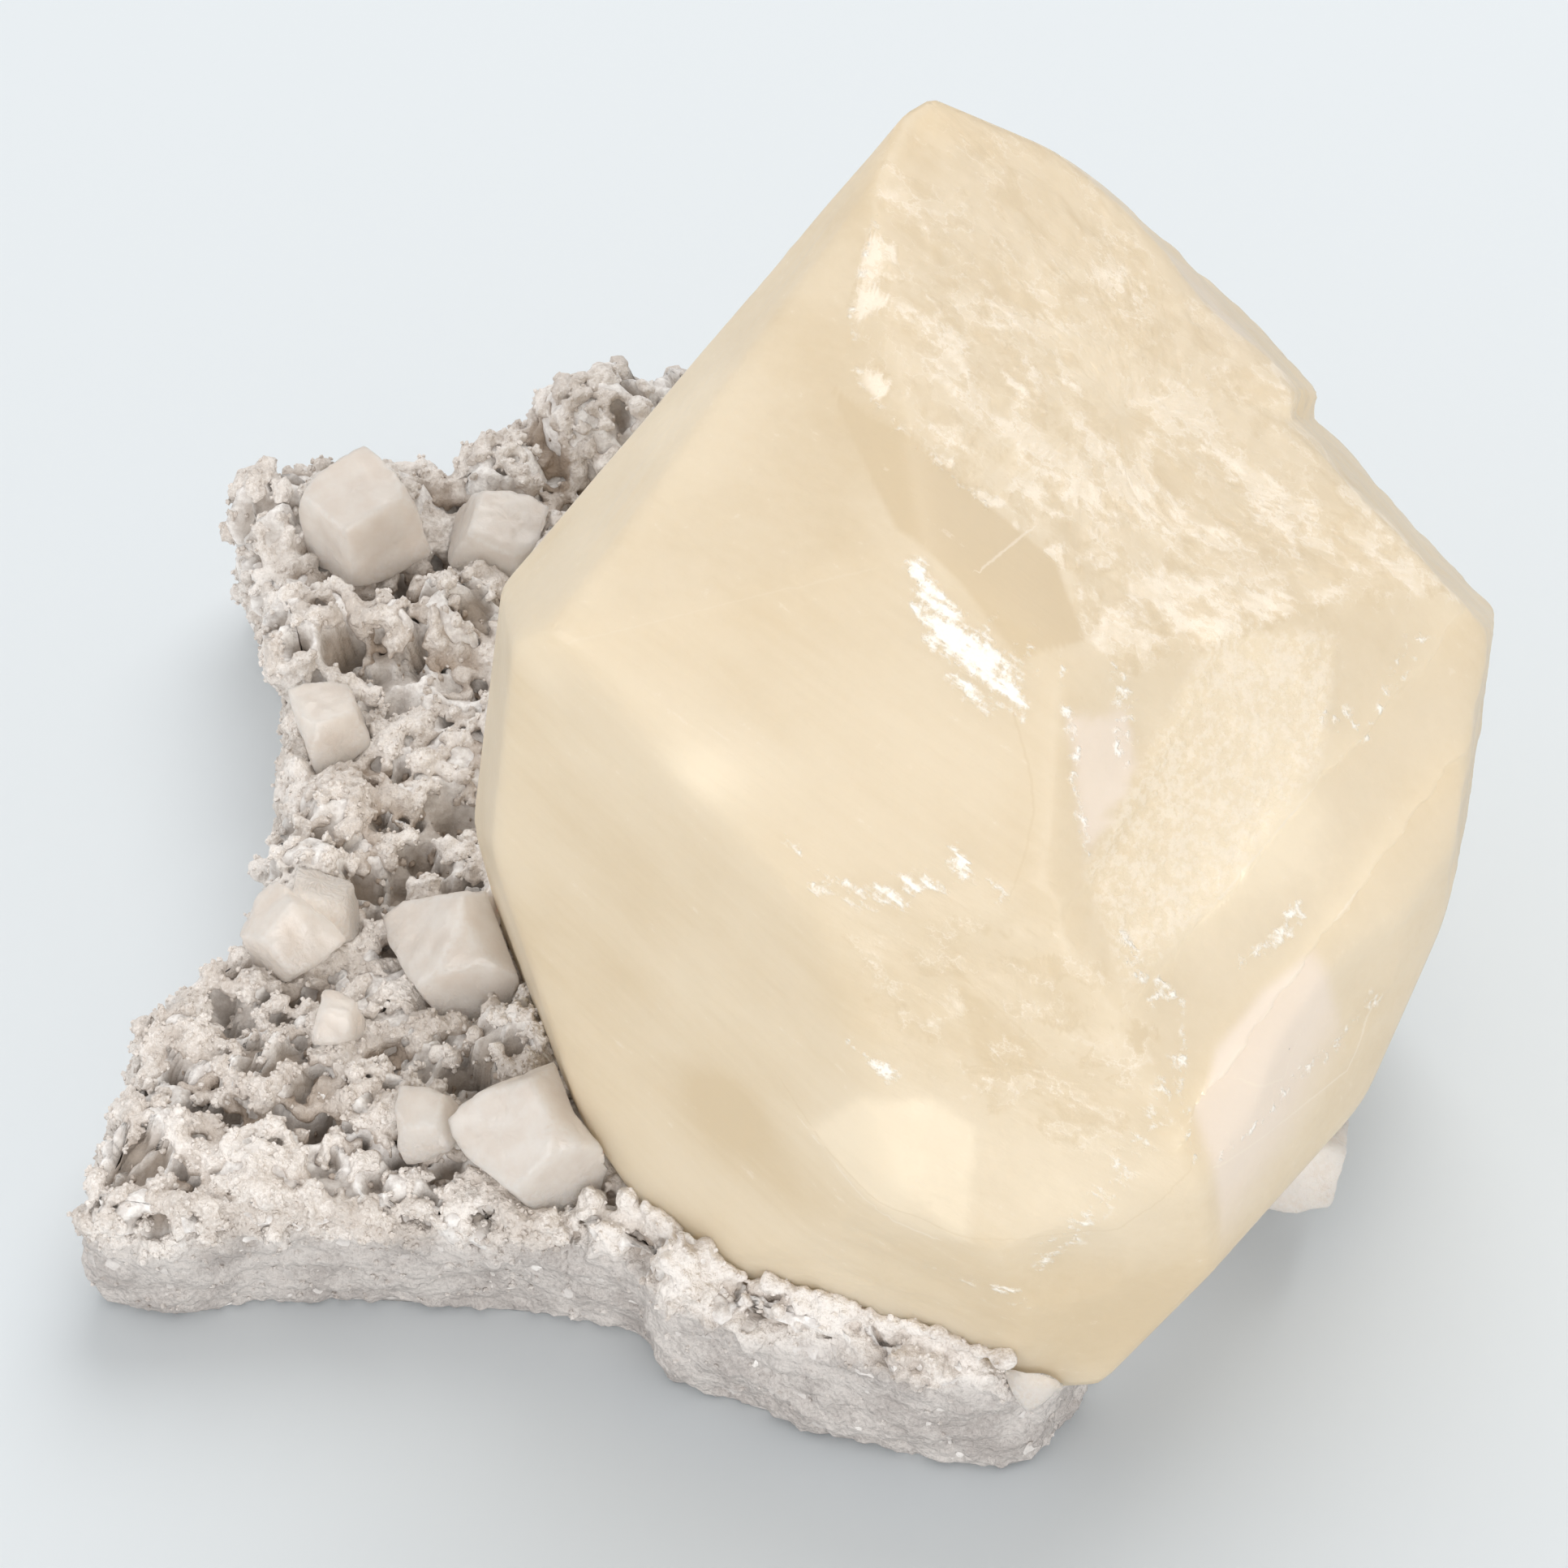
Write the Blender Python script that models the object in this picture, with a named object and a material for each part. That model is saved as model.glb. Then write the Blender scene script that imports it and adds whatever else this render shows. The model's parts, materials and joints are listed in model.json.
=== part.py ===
"""Yellow calcite on a slab of white druse.

The honey-coloured crystal is a block cut by its faces, then broken and etched: steps
and chips on its right side, a rough crust on its top. It stands in a socket of a
spongy slab, among eleven small colourless crystals that stand in sockets of their own.

Every length in the tables is in millimetres, in the frame of the growing specimen:
z = 0 is the slab's flat underside, -Y its broken front edge, +X the calcite's side.
"""
import math
import random

import bmesh
import bpy
from mathutils import Euler, Matrix, Vector, noise

MM = 0.001
GAP = 0.3                 # clear space between a crystal and its socket
BLANK = 200.0             # side of the block that a crystal is cut from

CALCITE_CENTRE = Vector((11.0, -8.5, 30.0))
CALCITE_FACES = {         # outward normal as azimuth and elevation in degrees, distance from the centre
    "left_slope": (163, 43, 26.0),
    "upper_left": (-147, 69, 23.9),
    "front_pane": (-107, 46, 22.0),
    "left_flank": (-130, 8, 22.4),
    "lower_front": (-97, 21, 23.0),
    "front_foot": (-112, -6, 26.8),
    "left_flank_foot": (-141, -8, 28.0),
    "right_cleavage": (-55, 38, 21.6),
    "crusted_top": (-25, 71, 21.4),
    "recessed_side": (-41, 5, 25.3),
    "right_foot": (-85, -1, 28.2),
    "left_edge": (-175, 7, 26.9),
    "left_edge_low": (-161, -8, 27.4),
    "left_edge_foot": (-152, -21, 30.2),
    "right_edge": (-12, 1, 26.1),
    "right_edge_low": (-20, -12, 26.4),
    "right_edge_foot": (-38, -22, 28.3),
    "back_slope": (30, 35, 25.6),
    "back_slope_upper": (39, 38, 27.2),
    "back_slope_peak": (59, 42, 30.6),
    "back_left": (135, 5, 20.2),
    "back": (85, 8, 26.0),
    "back_right": (35, -5, 26.0),
    "seat": (0, -90, 22.0),
}

# Cleavage steps: the face, two points of the step's edge, and how deep the crystal is lower beyond it
CALCITE_STEPS = {
    "sugary_panel": ("right_cleavage", (16.5, -26.2, 42.5), (21.9, -18.1, 46.9), 0.4),
    "smooth_panel": ("right_cleavage", (22.5, -26.3, 38.0), (28.1, -20.1, 40.4), 1.1),
    "broken_side": ("right_cleavage", (20.7, -35.6, 29.5), (30.4, -23.7, 34.9), 2.0),
    "back_notch": ("back_slope", (26.7, -2.5, 50.9), (27.9, 2.2, 46.0), 1.6),
}
# Shell-shaped chips: the face, a point on it, the radius of the shell and its depth
CALCITE_CHIPS = {
    "side_recess": ("recessed_side", (28.5, -28.0, 31.0), 26.0, 0.9),
    "pane_corner": ("right_cleavage", (17.5, -22.5, 46.0), 9.0, 0.6),
    "foot_chip": ("right_foot", (14.5, -36.6, 20.0), 14.0, 0.5),
}
STEP_REACH = 40.0         # size of the box that takes a step away
CRUST_CELL = 1.7          # spacing of the relief on the crusted top
CRUST_DEPTH = 0.9
CRUST_SWIRL = 6.0         # size of one swirl of the crust
CRUST_BEND = 0.8          # how far, in swirls, the ridges are bent aside
CRUST_BEND_REACH = 2.0    # size of one bend, in swirls
CRUST_STEEPNESS = 2.4     # how fast a ridge falls away to the full depth

SLAB_OUTLINE = (          # half-way up, counter-clockwise from the front left corner
    (-39.0, -25.2), (-34.0, -26.4), (-28.0, -25.7), (-17.5, -26.3), (-9.0, -27.8),
    (-5.8, -31.2), (4.2, -35.2), (11.0, -36.6), (14.8, -35.0), (18.4, -30.2), (21.6, -26.2),
    (24.4, -21.8), (26.8, -17.6), (28.6, -10.0), (27.4, -2.0), (29.0, 5.5), (25.2, 12.5),
    (24.4, 20.5), (17.6, 24.5), (14.6, 32.0), (7.4, 34.0), (1.0, 38.0), (-6.7, 38.4),
    (-12.4, 38.2), (-16.6, 34.8), (-19.6, 30.2), (-23.8, 32.0), (-31.2, 31.2), (-33.9, 27.0), (-31.4, 18.5), (-29.6, 12.0),
    (-29.8, 3.0), (-31.2, -5.8), (-35.0, -10.0), (-37.0, -15.0), (-38.4, -21.0),
)
SLAB_RINGS = (            # height and inset of each ring of the slab, from the underside up
    (-1.5, 0.9), (1.0, 0.3), (5.0, 0.0), (8.6, 0.2), (10.0, 1.5),
)
OUTLINE_SPLIT = 3         # points on the outline between two of its corners

# Rounded lumps of the druse: x, y, height of the centre, radius
LUMPS = (
    (-31.2, 26.6, 10.2, 3.1), (-28.4, 16.4, 10.0, 3.2), (-17.4, 29.4, 10.4, 2.6), (-11.2, 33.8, 11.0, 4.0),
    (-19.6, 18.2, 10.6, 2.8), (-23.4, 17.2, 10.2, 2.4), (-27.4, -2.4, 9.8, 2.8), (-14.8, -14.6, 10.4, 3.0),
    (-34.0, -13.6, 9.2, 2.4), (-29.2, -16.0, 9.8, 2.6), (-22.6, -18.4, 9.4, 2.4), (-26.4, 2.4, 9.8, 2.4),
    (-24.6, 27.2, 9.6, 3.0), (-6.6, 34.6, 10.2, 3.4), (-35.2, -20.4, 8.8, 2.6), (-29.0, -22.6, 9.0, 2.6),
    (-11.6, -21.8, 10.0, 2.4), (-4.6, -28.4, 9.8, 2.2), (3.8, -32.0, 9.6, 2.0), (11.0, -34.2, 9.2, 2.0),
    (-15.4, 9.6, 10.4, 2.6), (-13.6, 22.0, 11.0, 3.0),
)
# Pits of the sponge: x, y, height of the centre, radius
PITS = (
    (-12.6, 36.6, 12.8, 2.0), (-24.9, 14.6, 11.2, 2.2), (-28.8, 24.2, 12.2, 1.8), (-23.4, 11.2, 10.4, 2.0),
    (-19.8, 2.8, 10.6, 2.6), (-23.2, -3.4, 10.6, 2.2), (-17.0, -17.4, 10.4, 2.2), (-22.4, -14.6, 10.8, 1.8),
    (-31.4, -12.0, 10.6, 2.0), (-19.2, 13.2, 10.8, 2.0), (-26.6, -10.6, 10.8, 1.8), (-21.6, -0.8, 10.0, 1.8),
    (-24.6, 6.6, 10.6, 1.6), (-32.6, -17.4, 10.6, 1.6), (-15.4, 25.6, 12.0, 2.0), (-26.0, -19.6, 10.4, 1.6),
    (-9.6, -24.8, 11.0, 1.6), (-20.6, 22.8, 11.0, 2.0),
)
BALL_FLATTENING = 0.85    # height of a lump or a pit for its width
# Lumps and pits scattered over the stretch behind the calcite: number, heights of centres, radii
HIDDEN_LUMPS = (26, (9.2, 10.6), (1.8, 3.2))
HIDDEN_PITS = (14, (10.2, 11.4), (1.4, 2.2))
HIDDEN_STRETCH = ((-12, 27), (-20, 36))   # the scatter's box, along x and along y
SCATTER_SEED = 7

SLAB_VOXEL = 0.9          # grain of the slab's skin
PIT_VOXEL = 0.6
SPONGE_SCALE = 2.6        # spacing and height of the slab's fine relief
SPONGE_RELIEF = 2.2
SPONGE_LEVEL = 0.55
SLAB_FACES_KEPT = 0.31    # share of the skin's faces that are kept

# Small crystals: centre, half width, stretch along its axis, turn in degrees, blunting of the corners
SMALL_CRYSTALS = {
    "crystal_back_left": (((-25.7, 23.6, 12.7), 2.55, 1.15, (52, 14, -28), 1.50),),
    "crystal_back": (((-17.6, 23.0, 11.7), 2.2, 1.10, (24, -40, 12), 1.36),),
    "crystal_left_edge": (((-26.8, 8.8, 11.0), 1.9, 1.10, (35, 25, 40), 1.30),),
    "crystal_left_pair": (((-28.4, -7.6, 11.6), 1.95, 1.00, (48, -18, -20), 1.28),
                          ((-26.4, -5.6, 11.2), 1.75, 0.95, (20, 36, 10), 1.22)),
    "crystal_beside_calcite": (((-18.0, -8.8, 11.4), 3.0, 0.92, (30, -20, 30), 1.18),),
    "crystal_clear_small": (((-25.1, -13.8, 11.8), 1.15, 1.00, (18, 30, 0), 1.30),),
    "crystal_front_clear": (((-19.8, -20.6, 11.2), 1.5, 1.00, (40, 10, 15), 1.26),),
    "crystal_front_blocky": (((-13.2, -22.2, 12.2), 3.0, 0.95, (38, -22, 48), 1.24),),
    "crystal_right_foot": (((29.1, -19.4, 6.6), 2.4, 1.15, (30, 48, 10), 1.30),),
    "crystal_front_corner": (((13.4, -35.6, 9.0), 1.3, 0.80, (20, 10, 30), 1.30),),
}
RHOMB_LEAN = 44.6         # elevation of a cleavage face's normal above the crystal's waist

COLOURS = {               # base colour, roughness, transmission, index of refraction
    "calcite": ((0.84, 0.70, 0.46, 1.0), 0.22, 0.6, 1.60),
    "matrix": ((0.82, 0.78, 0.75, 1.0), 0.85, 0.0, 1.50),
    "small_crystal": ((0.86, 0.80, 0.74, 1.0), 0.30, 0.5, 1.55),
}


def clear_scene():
    """Start from an empty scene."""
    for thing in list(bpy.data.objects):
        bpy.data.objects.remove(thing, do_unlink=True)


def finish(name, colour, roughness, transmission, ior):
    """A Principled material of one finish."""
    material = bpy.data.materials.new(name)
    material.use_nodes = True
    shader = material.node_tree.nodes["Principled BSDF"]
    shader.inputs["Base Color"].default_value = colour
    shader.inputs["Roughness"].default_value = roughness
    shader.inputs["Metallic"].default_value = 0.0
    shader.inputs["Transmission Weight"].default_value = transmission
    shader.inputs["IOR"].default_value = ior
    material.diffuse_color = colour
    return material


def place(name, bm, parent=None, material=None):
    """Turn a bmesh into a named object of the scene."""
    mesh = bpy.data.meshes.new(name)
    bm.to_mesh(mesh)
    bm.free()
    thing = bpy.data.objects.new(name, mesh)
    bpy.context.scene.collection.objects.link(thing)
    thing.parent = parent
    if material:
        mesh.materials.append(material)
    return thing


def hide_cutter(cutter):
    """A cutter is only a tool, not a piece of the specimen."""
    cutter.hide_render = True
    cutter.display_type = "WIRE"
    return cutter


def cut_away(thing, cutter):
    """Take the cutter's shape out of a piece."""
    cut = thing.modifiers.new("cut_" + cutter.name, "BOOLEAN")
    cut.operation = "DIFFERENCE"
    cut.solver = "EXACT"
    cut.object = cutter


def direction(azimuth, elevation):
    """Unit vector at an azimuth from +X and an elevation above the ground, in degrees."""
    around, above = math.radians(azimuth), math.radians(elevation)
    return Vector((math.cos(above) * math.cos(around), math.cos(above) * math.sin(around), math.sin(above)))


def cut_block(centre, planes, grow=0.0):
    """A closed block cut by (normal, distance) planes around a centre; grow moves them all outwards."""
    bm = bmesh.new()
    bmesh.ops.create_cube(bm, size=BLANK * MM, matrix=Matrix.Translation(Vector(centre) * MM))
    for normal, distance in planes:
        cut = bmesh.ops.bisect_plane(
            bm, geom=bm.verts[:] + bm.edges[:] + bm.faces[:], clear_outer=True,
            plane_co=(Vector(centre) + normal * (distance + grow)) * MM, plane_no=normal)
        rim = [e for e in cut["geom_cut"] if isinstance(e, bmesh.types.BMEdge)]
        bmesh.ops.edgeloop_fill(bm, edges=rim)
    bmesh.ops.recalc_face_normals(bm, faces=bm.faces[:])
    return bm


def calcite_planes():
    """The calcite's faces as planes."""
    return [(direction(azimuth, elevation), distance) for azimuth, elevation, distance in CALCITE_FACES.values()]


def dice_face(bm, normal, cell):
    """Cut one flat face into a grid of cells, and return the face's own vertices inside its rim."""
    def lies_flat(face):
        return face.normal.dot(normal) > 0.9999

    along = normal.orthogonal().normalized()
    for axis in (along, normal.cross(along)):
        reach = [axis.dot(v.co) for f in bm.faces if lies_flat(f) for v in f.verts]
        lines = int((max(reach) - min(reach)) / (cell * MM))
        for line in range(1, lines + 1):
            flat = [f for f in bm.faces if lies_flat(f)]
            parts = {part for f in flat for part in (*f.verts, *f.edges)}
            offset = min(reach) + (max(reach) - min(reach)) * line / (lines + 1)
            bmesh.ops.bisect_plane(bm, geom=flat + list(parts), plane_co=axis * offset, plane_no=axis)
    return [v for v in bm.verts if all(lies_flat(f) for f in v.link_faces)]


def crust_hollow(point):
    """Depth below the crust's ridges, in mm: a turbulence whose zero lines are the swirling ridges."""
    here = point / (CRUST_SWIRL * MM)
    swirl = here + noise.noise_vector(here / CRUST_BEND_REACH) * CRUST_BEND
    return CRUST_DEPTH * min(1.0, CRUST_STEEPNESS * abs(noise.noise(swirl)))


def step_box(face, start, end, depth):
    """The box beyond a step's edge: its floor lies parallel to the face, `depth` below it."""
    azimuth, elevation, _ = CALCITE_FACES[face]
    normal = direction(azimuth, elevation)
    along = Vector(end) - Vector(start)
    along = (along - normal * along.dot(normal)).normalized()
    beyond = along.cross(normal)
    middle = Vector(start) + beyond * STEP_REACH / 2 + normal * (STEP_REACH / 2 - depth)
    turn = Matrix((along, beyond, normal)).transposed().to_4x4()
    bm = bmesh.new()
    bmesh.ops.create_cube(bm, size=STEP_REACH * MM, matrix=Matrix.Translation(middle * MM) @ turn)
    bmesh.ops.scale(bm, verts=bm.verts[:], vec=(2, 1, 1),
                    space=(Matrix.Translation(middle * MM) @ turn).inverted())
    bmesh.ops.recalc_face_normals(bm, faces=bm.faces[:])
    return bm


def chip_shell(face, point, radius, depth):
    """The ball whose cap, `depth` deep, is a shell-shaped chip in the face."""
    azimuth, elevation, _ = CALCITE_FACES[face]
    middle = Vector(point) + direction(azimuth, elevation) * (radius - depth)
    bm = bmesh.new()
    bmesh.ops.create_icosphere(bm, subdivisions=4, radius=radius * MM, matrix=Matrix.Translation(middle * MM))
    return bm


def make_calcite(specimen, material):
    """The big crystal: cut block, etched crust, then steps and chips taken out of it."""
    bm = cut_block(CALCITE_CENTRE, calcite_planes())
    azimuth, elevation, _ = CALCITE_FACES["crusted_top"]
    top = direction(azimuth, elevation)
    for vert in dice_face(bm, top, CRUST_CELL):
        vert.co -= top * crust_hollow(vert.co) * MM
    calcite = place("yellow_calcite", bm, specimen, material)
    for name, (face, start, end, depth) in CALCITE_STEPS.items():
        cut_away(calcite, hide_cutter(place("cut_" + name, step_box(face, start, end, depth), specimen)))
    for name, (face, point, radius, depth) in CALCITE_CHIPS.items():
        cut_away(calcite, hide_cutter(place("cut_" + name, chip_shell(face, point, radius, depth), specimen)))
    return calcite


def rhomb_planes(half, stretch, turn, blunting):
    """A rhomb of six cleavage faces, blunted by three faces around its waist and two caps."""
    spin = Euler([math.radians(angle) for angle in turn]).to_matrix()
    planes = []
    for third in range(3):
        lean = direction(120 * third, RHOMB_LEAN)
        waist = direction(120 * third + 60, 0)
        planes += [(spin @ lean, half), (spin @ -lean, half), (spin @ waist, half * blunting)]
    for side in (1, -1):
        planes.append((spin @ Vector((0, 0, side)), half * blunting * stretch))
    return planes


def cut_blocks(blocks, grow=0.0):
    """The rhombs of one small crystal."""
    return [cut_block(centre, rhomb_planes(half, stretch, turn, blunting), grow)
            for centre, half, stretch, turn, blunting in blocks]


def join_blocks(name, pieces, specimen, material=None):
    """Make the first block an object and unite the others with it."""
    crystal = place(name, pieces[0], specimen, material)
    for number, piece in enumerate(pieces[1:], 2):
        twin = hide_cutter(place(f"{name}_block_{number}", piece, specimen))
        joint = crystal.modifiers.new("grown_together", "BOOLEAN")
        joint.operation = "UNION"
        joint.solver = "EXACT"
        joint.object = twin
    return crystal


def smooth_outline(inset):
    """The slab's outline as points of a closed smooth curve, moved inwards by the inset."""
    corners = [Vector((x, y, 0)) for x, y in SLAB_OUTLINE]
    count = len(corners)
    points = []
    for i, corner in enumerate(corners):
        before, after, beyond = corners[i - 1], corners[(i + 1) % count], corners[(i + 2) % count]
        for part in range(OUTLINE_SPLIT):
            t = part / OUTLINE_SPLIT
            points.append(0.5 * ((2 * corner) + (after - before) * t
                                 + (2 * before - 5 * corner + 4 * after - beyond) * t ** 2
                                 + (3 * corner - before - 3 * after + beyond) * t ** 3))
    inward = []
    for i, point in enumerate(points):
        run = (points[(i + 1) % len(points)] - points[i - 1]).normalized()
        inward.append(point + Vector((-run.y, run.x, 0)) * inset)
    return inward


def add_ball(bm, x, y, z, radius):
    """A low ball, flattened a little, for a lump or a pit."""
    where = Matrix.Translation(Vector((x, y, z)) * MM) @ Matrix.Diagonal((1, 1, BALL_FLATTENING, 1))
    bmesh.ops.create_icosphere(bm, subdivisions=2, radius=radius * MM, matrix=where)


def slab_blank():
    """The plain slab: rings of its outline joined from the underside to the top."""
    bm = bmesh.new()
    rings = []
    for height, inset in SLAB_RINGS:
        ring = [bm.verts.new(Vector((p.x, p.y, height)) * MM) for p in smooth_outline(inset)]
        rings.append([bm.edges.new((ring[i - 1], ring[i])) for i in range(len(ring))])
    for lower, upper in zip(rings, rings[1:]):
        bmesh.ops.bridge_loops(bm, edges=lower + upper)
    for end in (rings[0], rings[-1]):
        bmesh.ops.contextual_create(bm, geom=end)
    bmesh.ops.recalc_face_normals(bm, faces=bm.faces[:])
    return bm


def hidden_spots(count, heights, radii):
    """Seeded places over the stretch of slab behind and beside the calcite."""
    dice = random.Random(SCATTER_SEED + count)
    spots = []
    while len(spots) < count:
        x, y = (dice.uniform(*reach) for reach in HIDDEN_STRETCH)
        behind = x + 0.75 * y < 33 and y > 14 + 0.15 * x
        beside = x > 22 and abs(y) < 14
        if behind or beside:
            spots.append((x, y, dice.uniform(*heights), dice.uniform(*radii)))
    return spots


def voxel_skin(thing, voxel):
    """One clean closed skin over all that the object holds."""
    skin = thing.modifiers.new("skin", "REMESH")
    skin.mode = "VOXEL"
    skin.voxel_size = voxel * MM
    skin.adaptivity = 0.0


def make_pit_cutter(specimen):
    """All the pits of the sponge as one cutter."""
    bm = bmesh.new()
    for pit in (*PITS, *hidden_spots(*HIDDEN_PITS)):
        add_ball(bm, *pit)
    cutter = hide_cutter(place("cut_pits", bm, specimen))
    voxel_skin(cutter, PIT_VOXEL)
    return cutter


def make_matrix(specimen, material, sockets):
    """The slab: lumps joined on, pits taken out, skin roughened, underside cut flat, sockets opened."""
    bm = slab_blank()
    for lump in (*LUMPS, *hidden_spots(*HIDDEN_LUMPS)):
        add_ball(bm, *lump)
    matrix = place("matrix", bm, specimen, material)
    voxel_skin(matrix, SLAB_VOXEL)
    cut_away(matrix, make_pit_cutter(specimen))

    sponge = bpy.data.textures.new("sponge", "CLOUDS")
    sponge.noise_scale = SPONGE_SCALE * MM
    sponge.noise_depth = 1
    roughen = matrix.modifiers.new("roughen", "DISPLACE")
    roughen.texture = sponge
    roughen.strength = SPONGE_RELIEF * MM
    roughen.mid_level = SPONGE_LEVEL
    voxel_skin(matrix, SLAB_VOXEL)

    thin = matrix.modifiers.new("fewer_faces", "DECIMATE")
    thin.ratio = SLAB_FACES_KEPT
    thin.use_collapse_triangulate = True

    floor = bmesh.new()
    bmesh.ops.create_cube(floor, size=BLANK * MM, matrix=Matrix.Translation((0, 0, -BLANK / 2 * MM)))
    cut_away(matrix, hide_cutter(place("cut_underside", floor, specimen)))
    for socket in sockets:
        cut_away(matrix, socket)
    return matrix


def centre_on_ground(specimen, pieces):
    """Move the whole specimen so that the middle of its box stands over the origin."""
    view = bpy.context.evaluated_depsgraph_get()
    corners = []
    for piece in pieces:
        mesh = piece.evaluated_get(view).to_mesh()
        corners += [piece.matrix_world @ v.co for v in mesh.vertices]
    for axis in (0, 1):
        reach = [corner[axis] for corner in corners]
        specimen.location[axis] = -(min(reach) + max(reach)) / 2


def main():
    clear_scene()
    looks = {name: finish(name, *values) for name, values in COLOURS.items()}
    specimen = bpy.data.objects.new("specimen", None)
    bpy.context.scene.collection.objects.link(specimen)

    pieces = [make_calcite(specimen, looks["calcite"])]
    grown = cut_block(CALCITE_CENTRE, calcite_planes(), GAP)
    sockets = [hide_cutter(place("socket_yellow_calcite", grown, specimen))]
    for name, blocks in SMALL_CRYSTALS.items():
        crystal = join_blocks(name, cut_blocks(blocks), specimen, looks["small_crystal"])
        for neighbour in sockets:
            cut_away(crystal, neighbour)
        pieces.append(crystal)
        sockets.append(hide_cutter(join_blocks("socket_" + name, cut_blocks(blocks, GAP), specimen)))
    pieces.append(make_matrix(specimen, looks["matrix"], sockets))
    centre_on_ground(specimen, pieces)


main()
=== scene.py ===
"""Looks of a yellow calcite crystal on a slab of white druse.

Lengths are millimetres in the frame of the growing specimen: z = 0 is the slab's flat
underside, -Y its broken front edge, +X the calcite's side. SHIFT takes that frame to the
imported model's own, and every finished mesh is stored there in metres.
"""
import itertools
import json
import math

import bpy
import numpy as np
from mathutils import Euler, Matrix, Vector

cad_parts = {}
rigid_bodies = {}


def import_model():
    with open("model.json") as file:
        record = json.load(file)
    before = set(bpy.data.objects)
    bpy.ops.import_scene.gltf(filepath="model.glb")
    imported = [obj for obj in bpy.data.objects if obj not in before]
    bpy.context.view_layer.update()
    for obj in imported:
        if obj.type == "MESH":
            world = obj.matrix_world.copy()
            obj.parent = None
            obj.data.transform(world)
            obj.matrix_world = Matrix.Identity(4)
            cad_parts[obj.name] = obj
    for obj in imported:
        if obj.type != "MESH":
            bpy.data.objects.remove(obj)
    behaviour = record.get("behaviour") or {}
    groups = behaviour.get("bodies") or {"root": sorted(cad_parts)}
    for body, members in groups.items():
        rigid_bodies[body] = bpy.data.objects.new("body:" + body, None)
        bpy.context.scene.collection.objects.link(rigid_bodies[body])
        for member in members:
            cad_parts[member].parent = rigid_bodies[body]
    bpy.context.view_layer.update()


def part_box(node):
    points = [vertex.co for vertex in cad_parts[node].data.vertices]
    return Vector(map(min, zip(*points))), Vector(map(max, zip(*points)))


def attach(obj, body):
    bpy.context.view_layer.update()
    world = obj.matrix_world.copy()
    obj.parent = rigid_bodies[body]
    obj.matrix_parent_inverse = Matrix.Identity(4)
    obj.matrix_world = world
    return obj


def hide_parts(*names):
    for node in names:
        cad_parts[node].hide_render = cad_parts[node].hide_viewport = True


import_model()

MM = 0.001
SEED = 11
GAP = 0.3                  # clear space between a crystal and its socket
CALCITE_CELL = 0.385       # grid spacing on the calcite's faces that show
HIDDEN_FACE_CELL = 0.9     # and on the others
CALCITE_ROUNDING = 0.17    # how much the calcite's edges are rounded
CRYSTAL_CELL = 0.24
CRYSTAL_ROUNDING = 0.16

# The calcite: centre, and each face's outward normal (azimuth, elevation) and distance
CALCITE_CENTRE = (11.0, -8.5, 30.0)
CALCITE_FACES = {
    "left_slope": (163, 43, 26.0), "upper_left": (-147, 69, 23.9), "front_pane": (-107, 46, 22.0),
    "left_flank": (-130, 8, 22.4), "lower_front": (-97, 21, 23.0), "front_foot": (-112, -6, 26.8),
    "left_flank_foot": (-141, -8, 28.0), "right_cleavage": (-55, 38, 21.6), "crusted_top": (-25, 71, 21.4),
    "recessed_side": (-41, 5, 25.3), "right_foot": (-85, -1, 28.2), "left_edge": (-175, 7, 26.9),
    "left_edge_low": (-161, -8, 27.4), "left_edge_foot": (-152, -21, 30.2), "right_edge": (-12, 1, 26.1),
    "right_edge_low": (-20, -12, 26.4), "right_edge_foot": (-38, -22, 28.3), "back_slope": (30, 35, 25.6),
    "back_slope_upper": (39, 38, 27.2), "back_slope_peak": (59, 42, 30.6), "back_left": (135, 5, 20.2),
    "back": (85, 8, 26.0), "back_right": (35, -5, 26.0), "seat": (0, -90, 22.0),
}
FINE_FACES = ("left_slope", "upper_left", "front_pane", "left_flank", "lower_front", "front_foot",
              "right_cleavage", "crusted_top", "recessed_side", "right_foot", "left_edge", "back_slope",
              "right_edge", "back_slope_upper", "back_slope_peak")
# Steps of the right cleavage face and of the back: two points of the edge, depth beyond it
CLEAVAGE_STEPS = (((16.5, -26.2, 42.5), (21.9, -18.1, 46.9), 0.4),
                  ((22.5, -26.3, 38.0), (28.1, -20.1, 40.4), 0.8),
                  ((20.7, -35.6, 29.5), (30.4, -23.7, 34.9), 1.5))
BACK_NOTCH = (((26.7, -2.5, 50.9), (27.9, 2.2, 46.0), 1.1),)
# Shell-shaped chips: a point on the face, radius of the shell, depth
SIDE_RECESS = ((28.5, -28.0, 31.0), 26.0, 0.9)
PANE_CORNER = ((17.5, -22.5, 46.0), 9.0, 0.25)
FOOT_CHIP = ((14.5, -36.6, 20.0), 14.0, 0.5)

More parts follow.
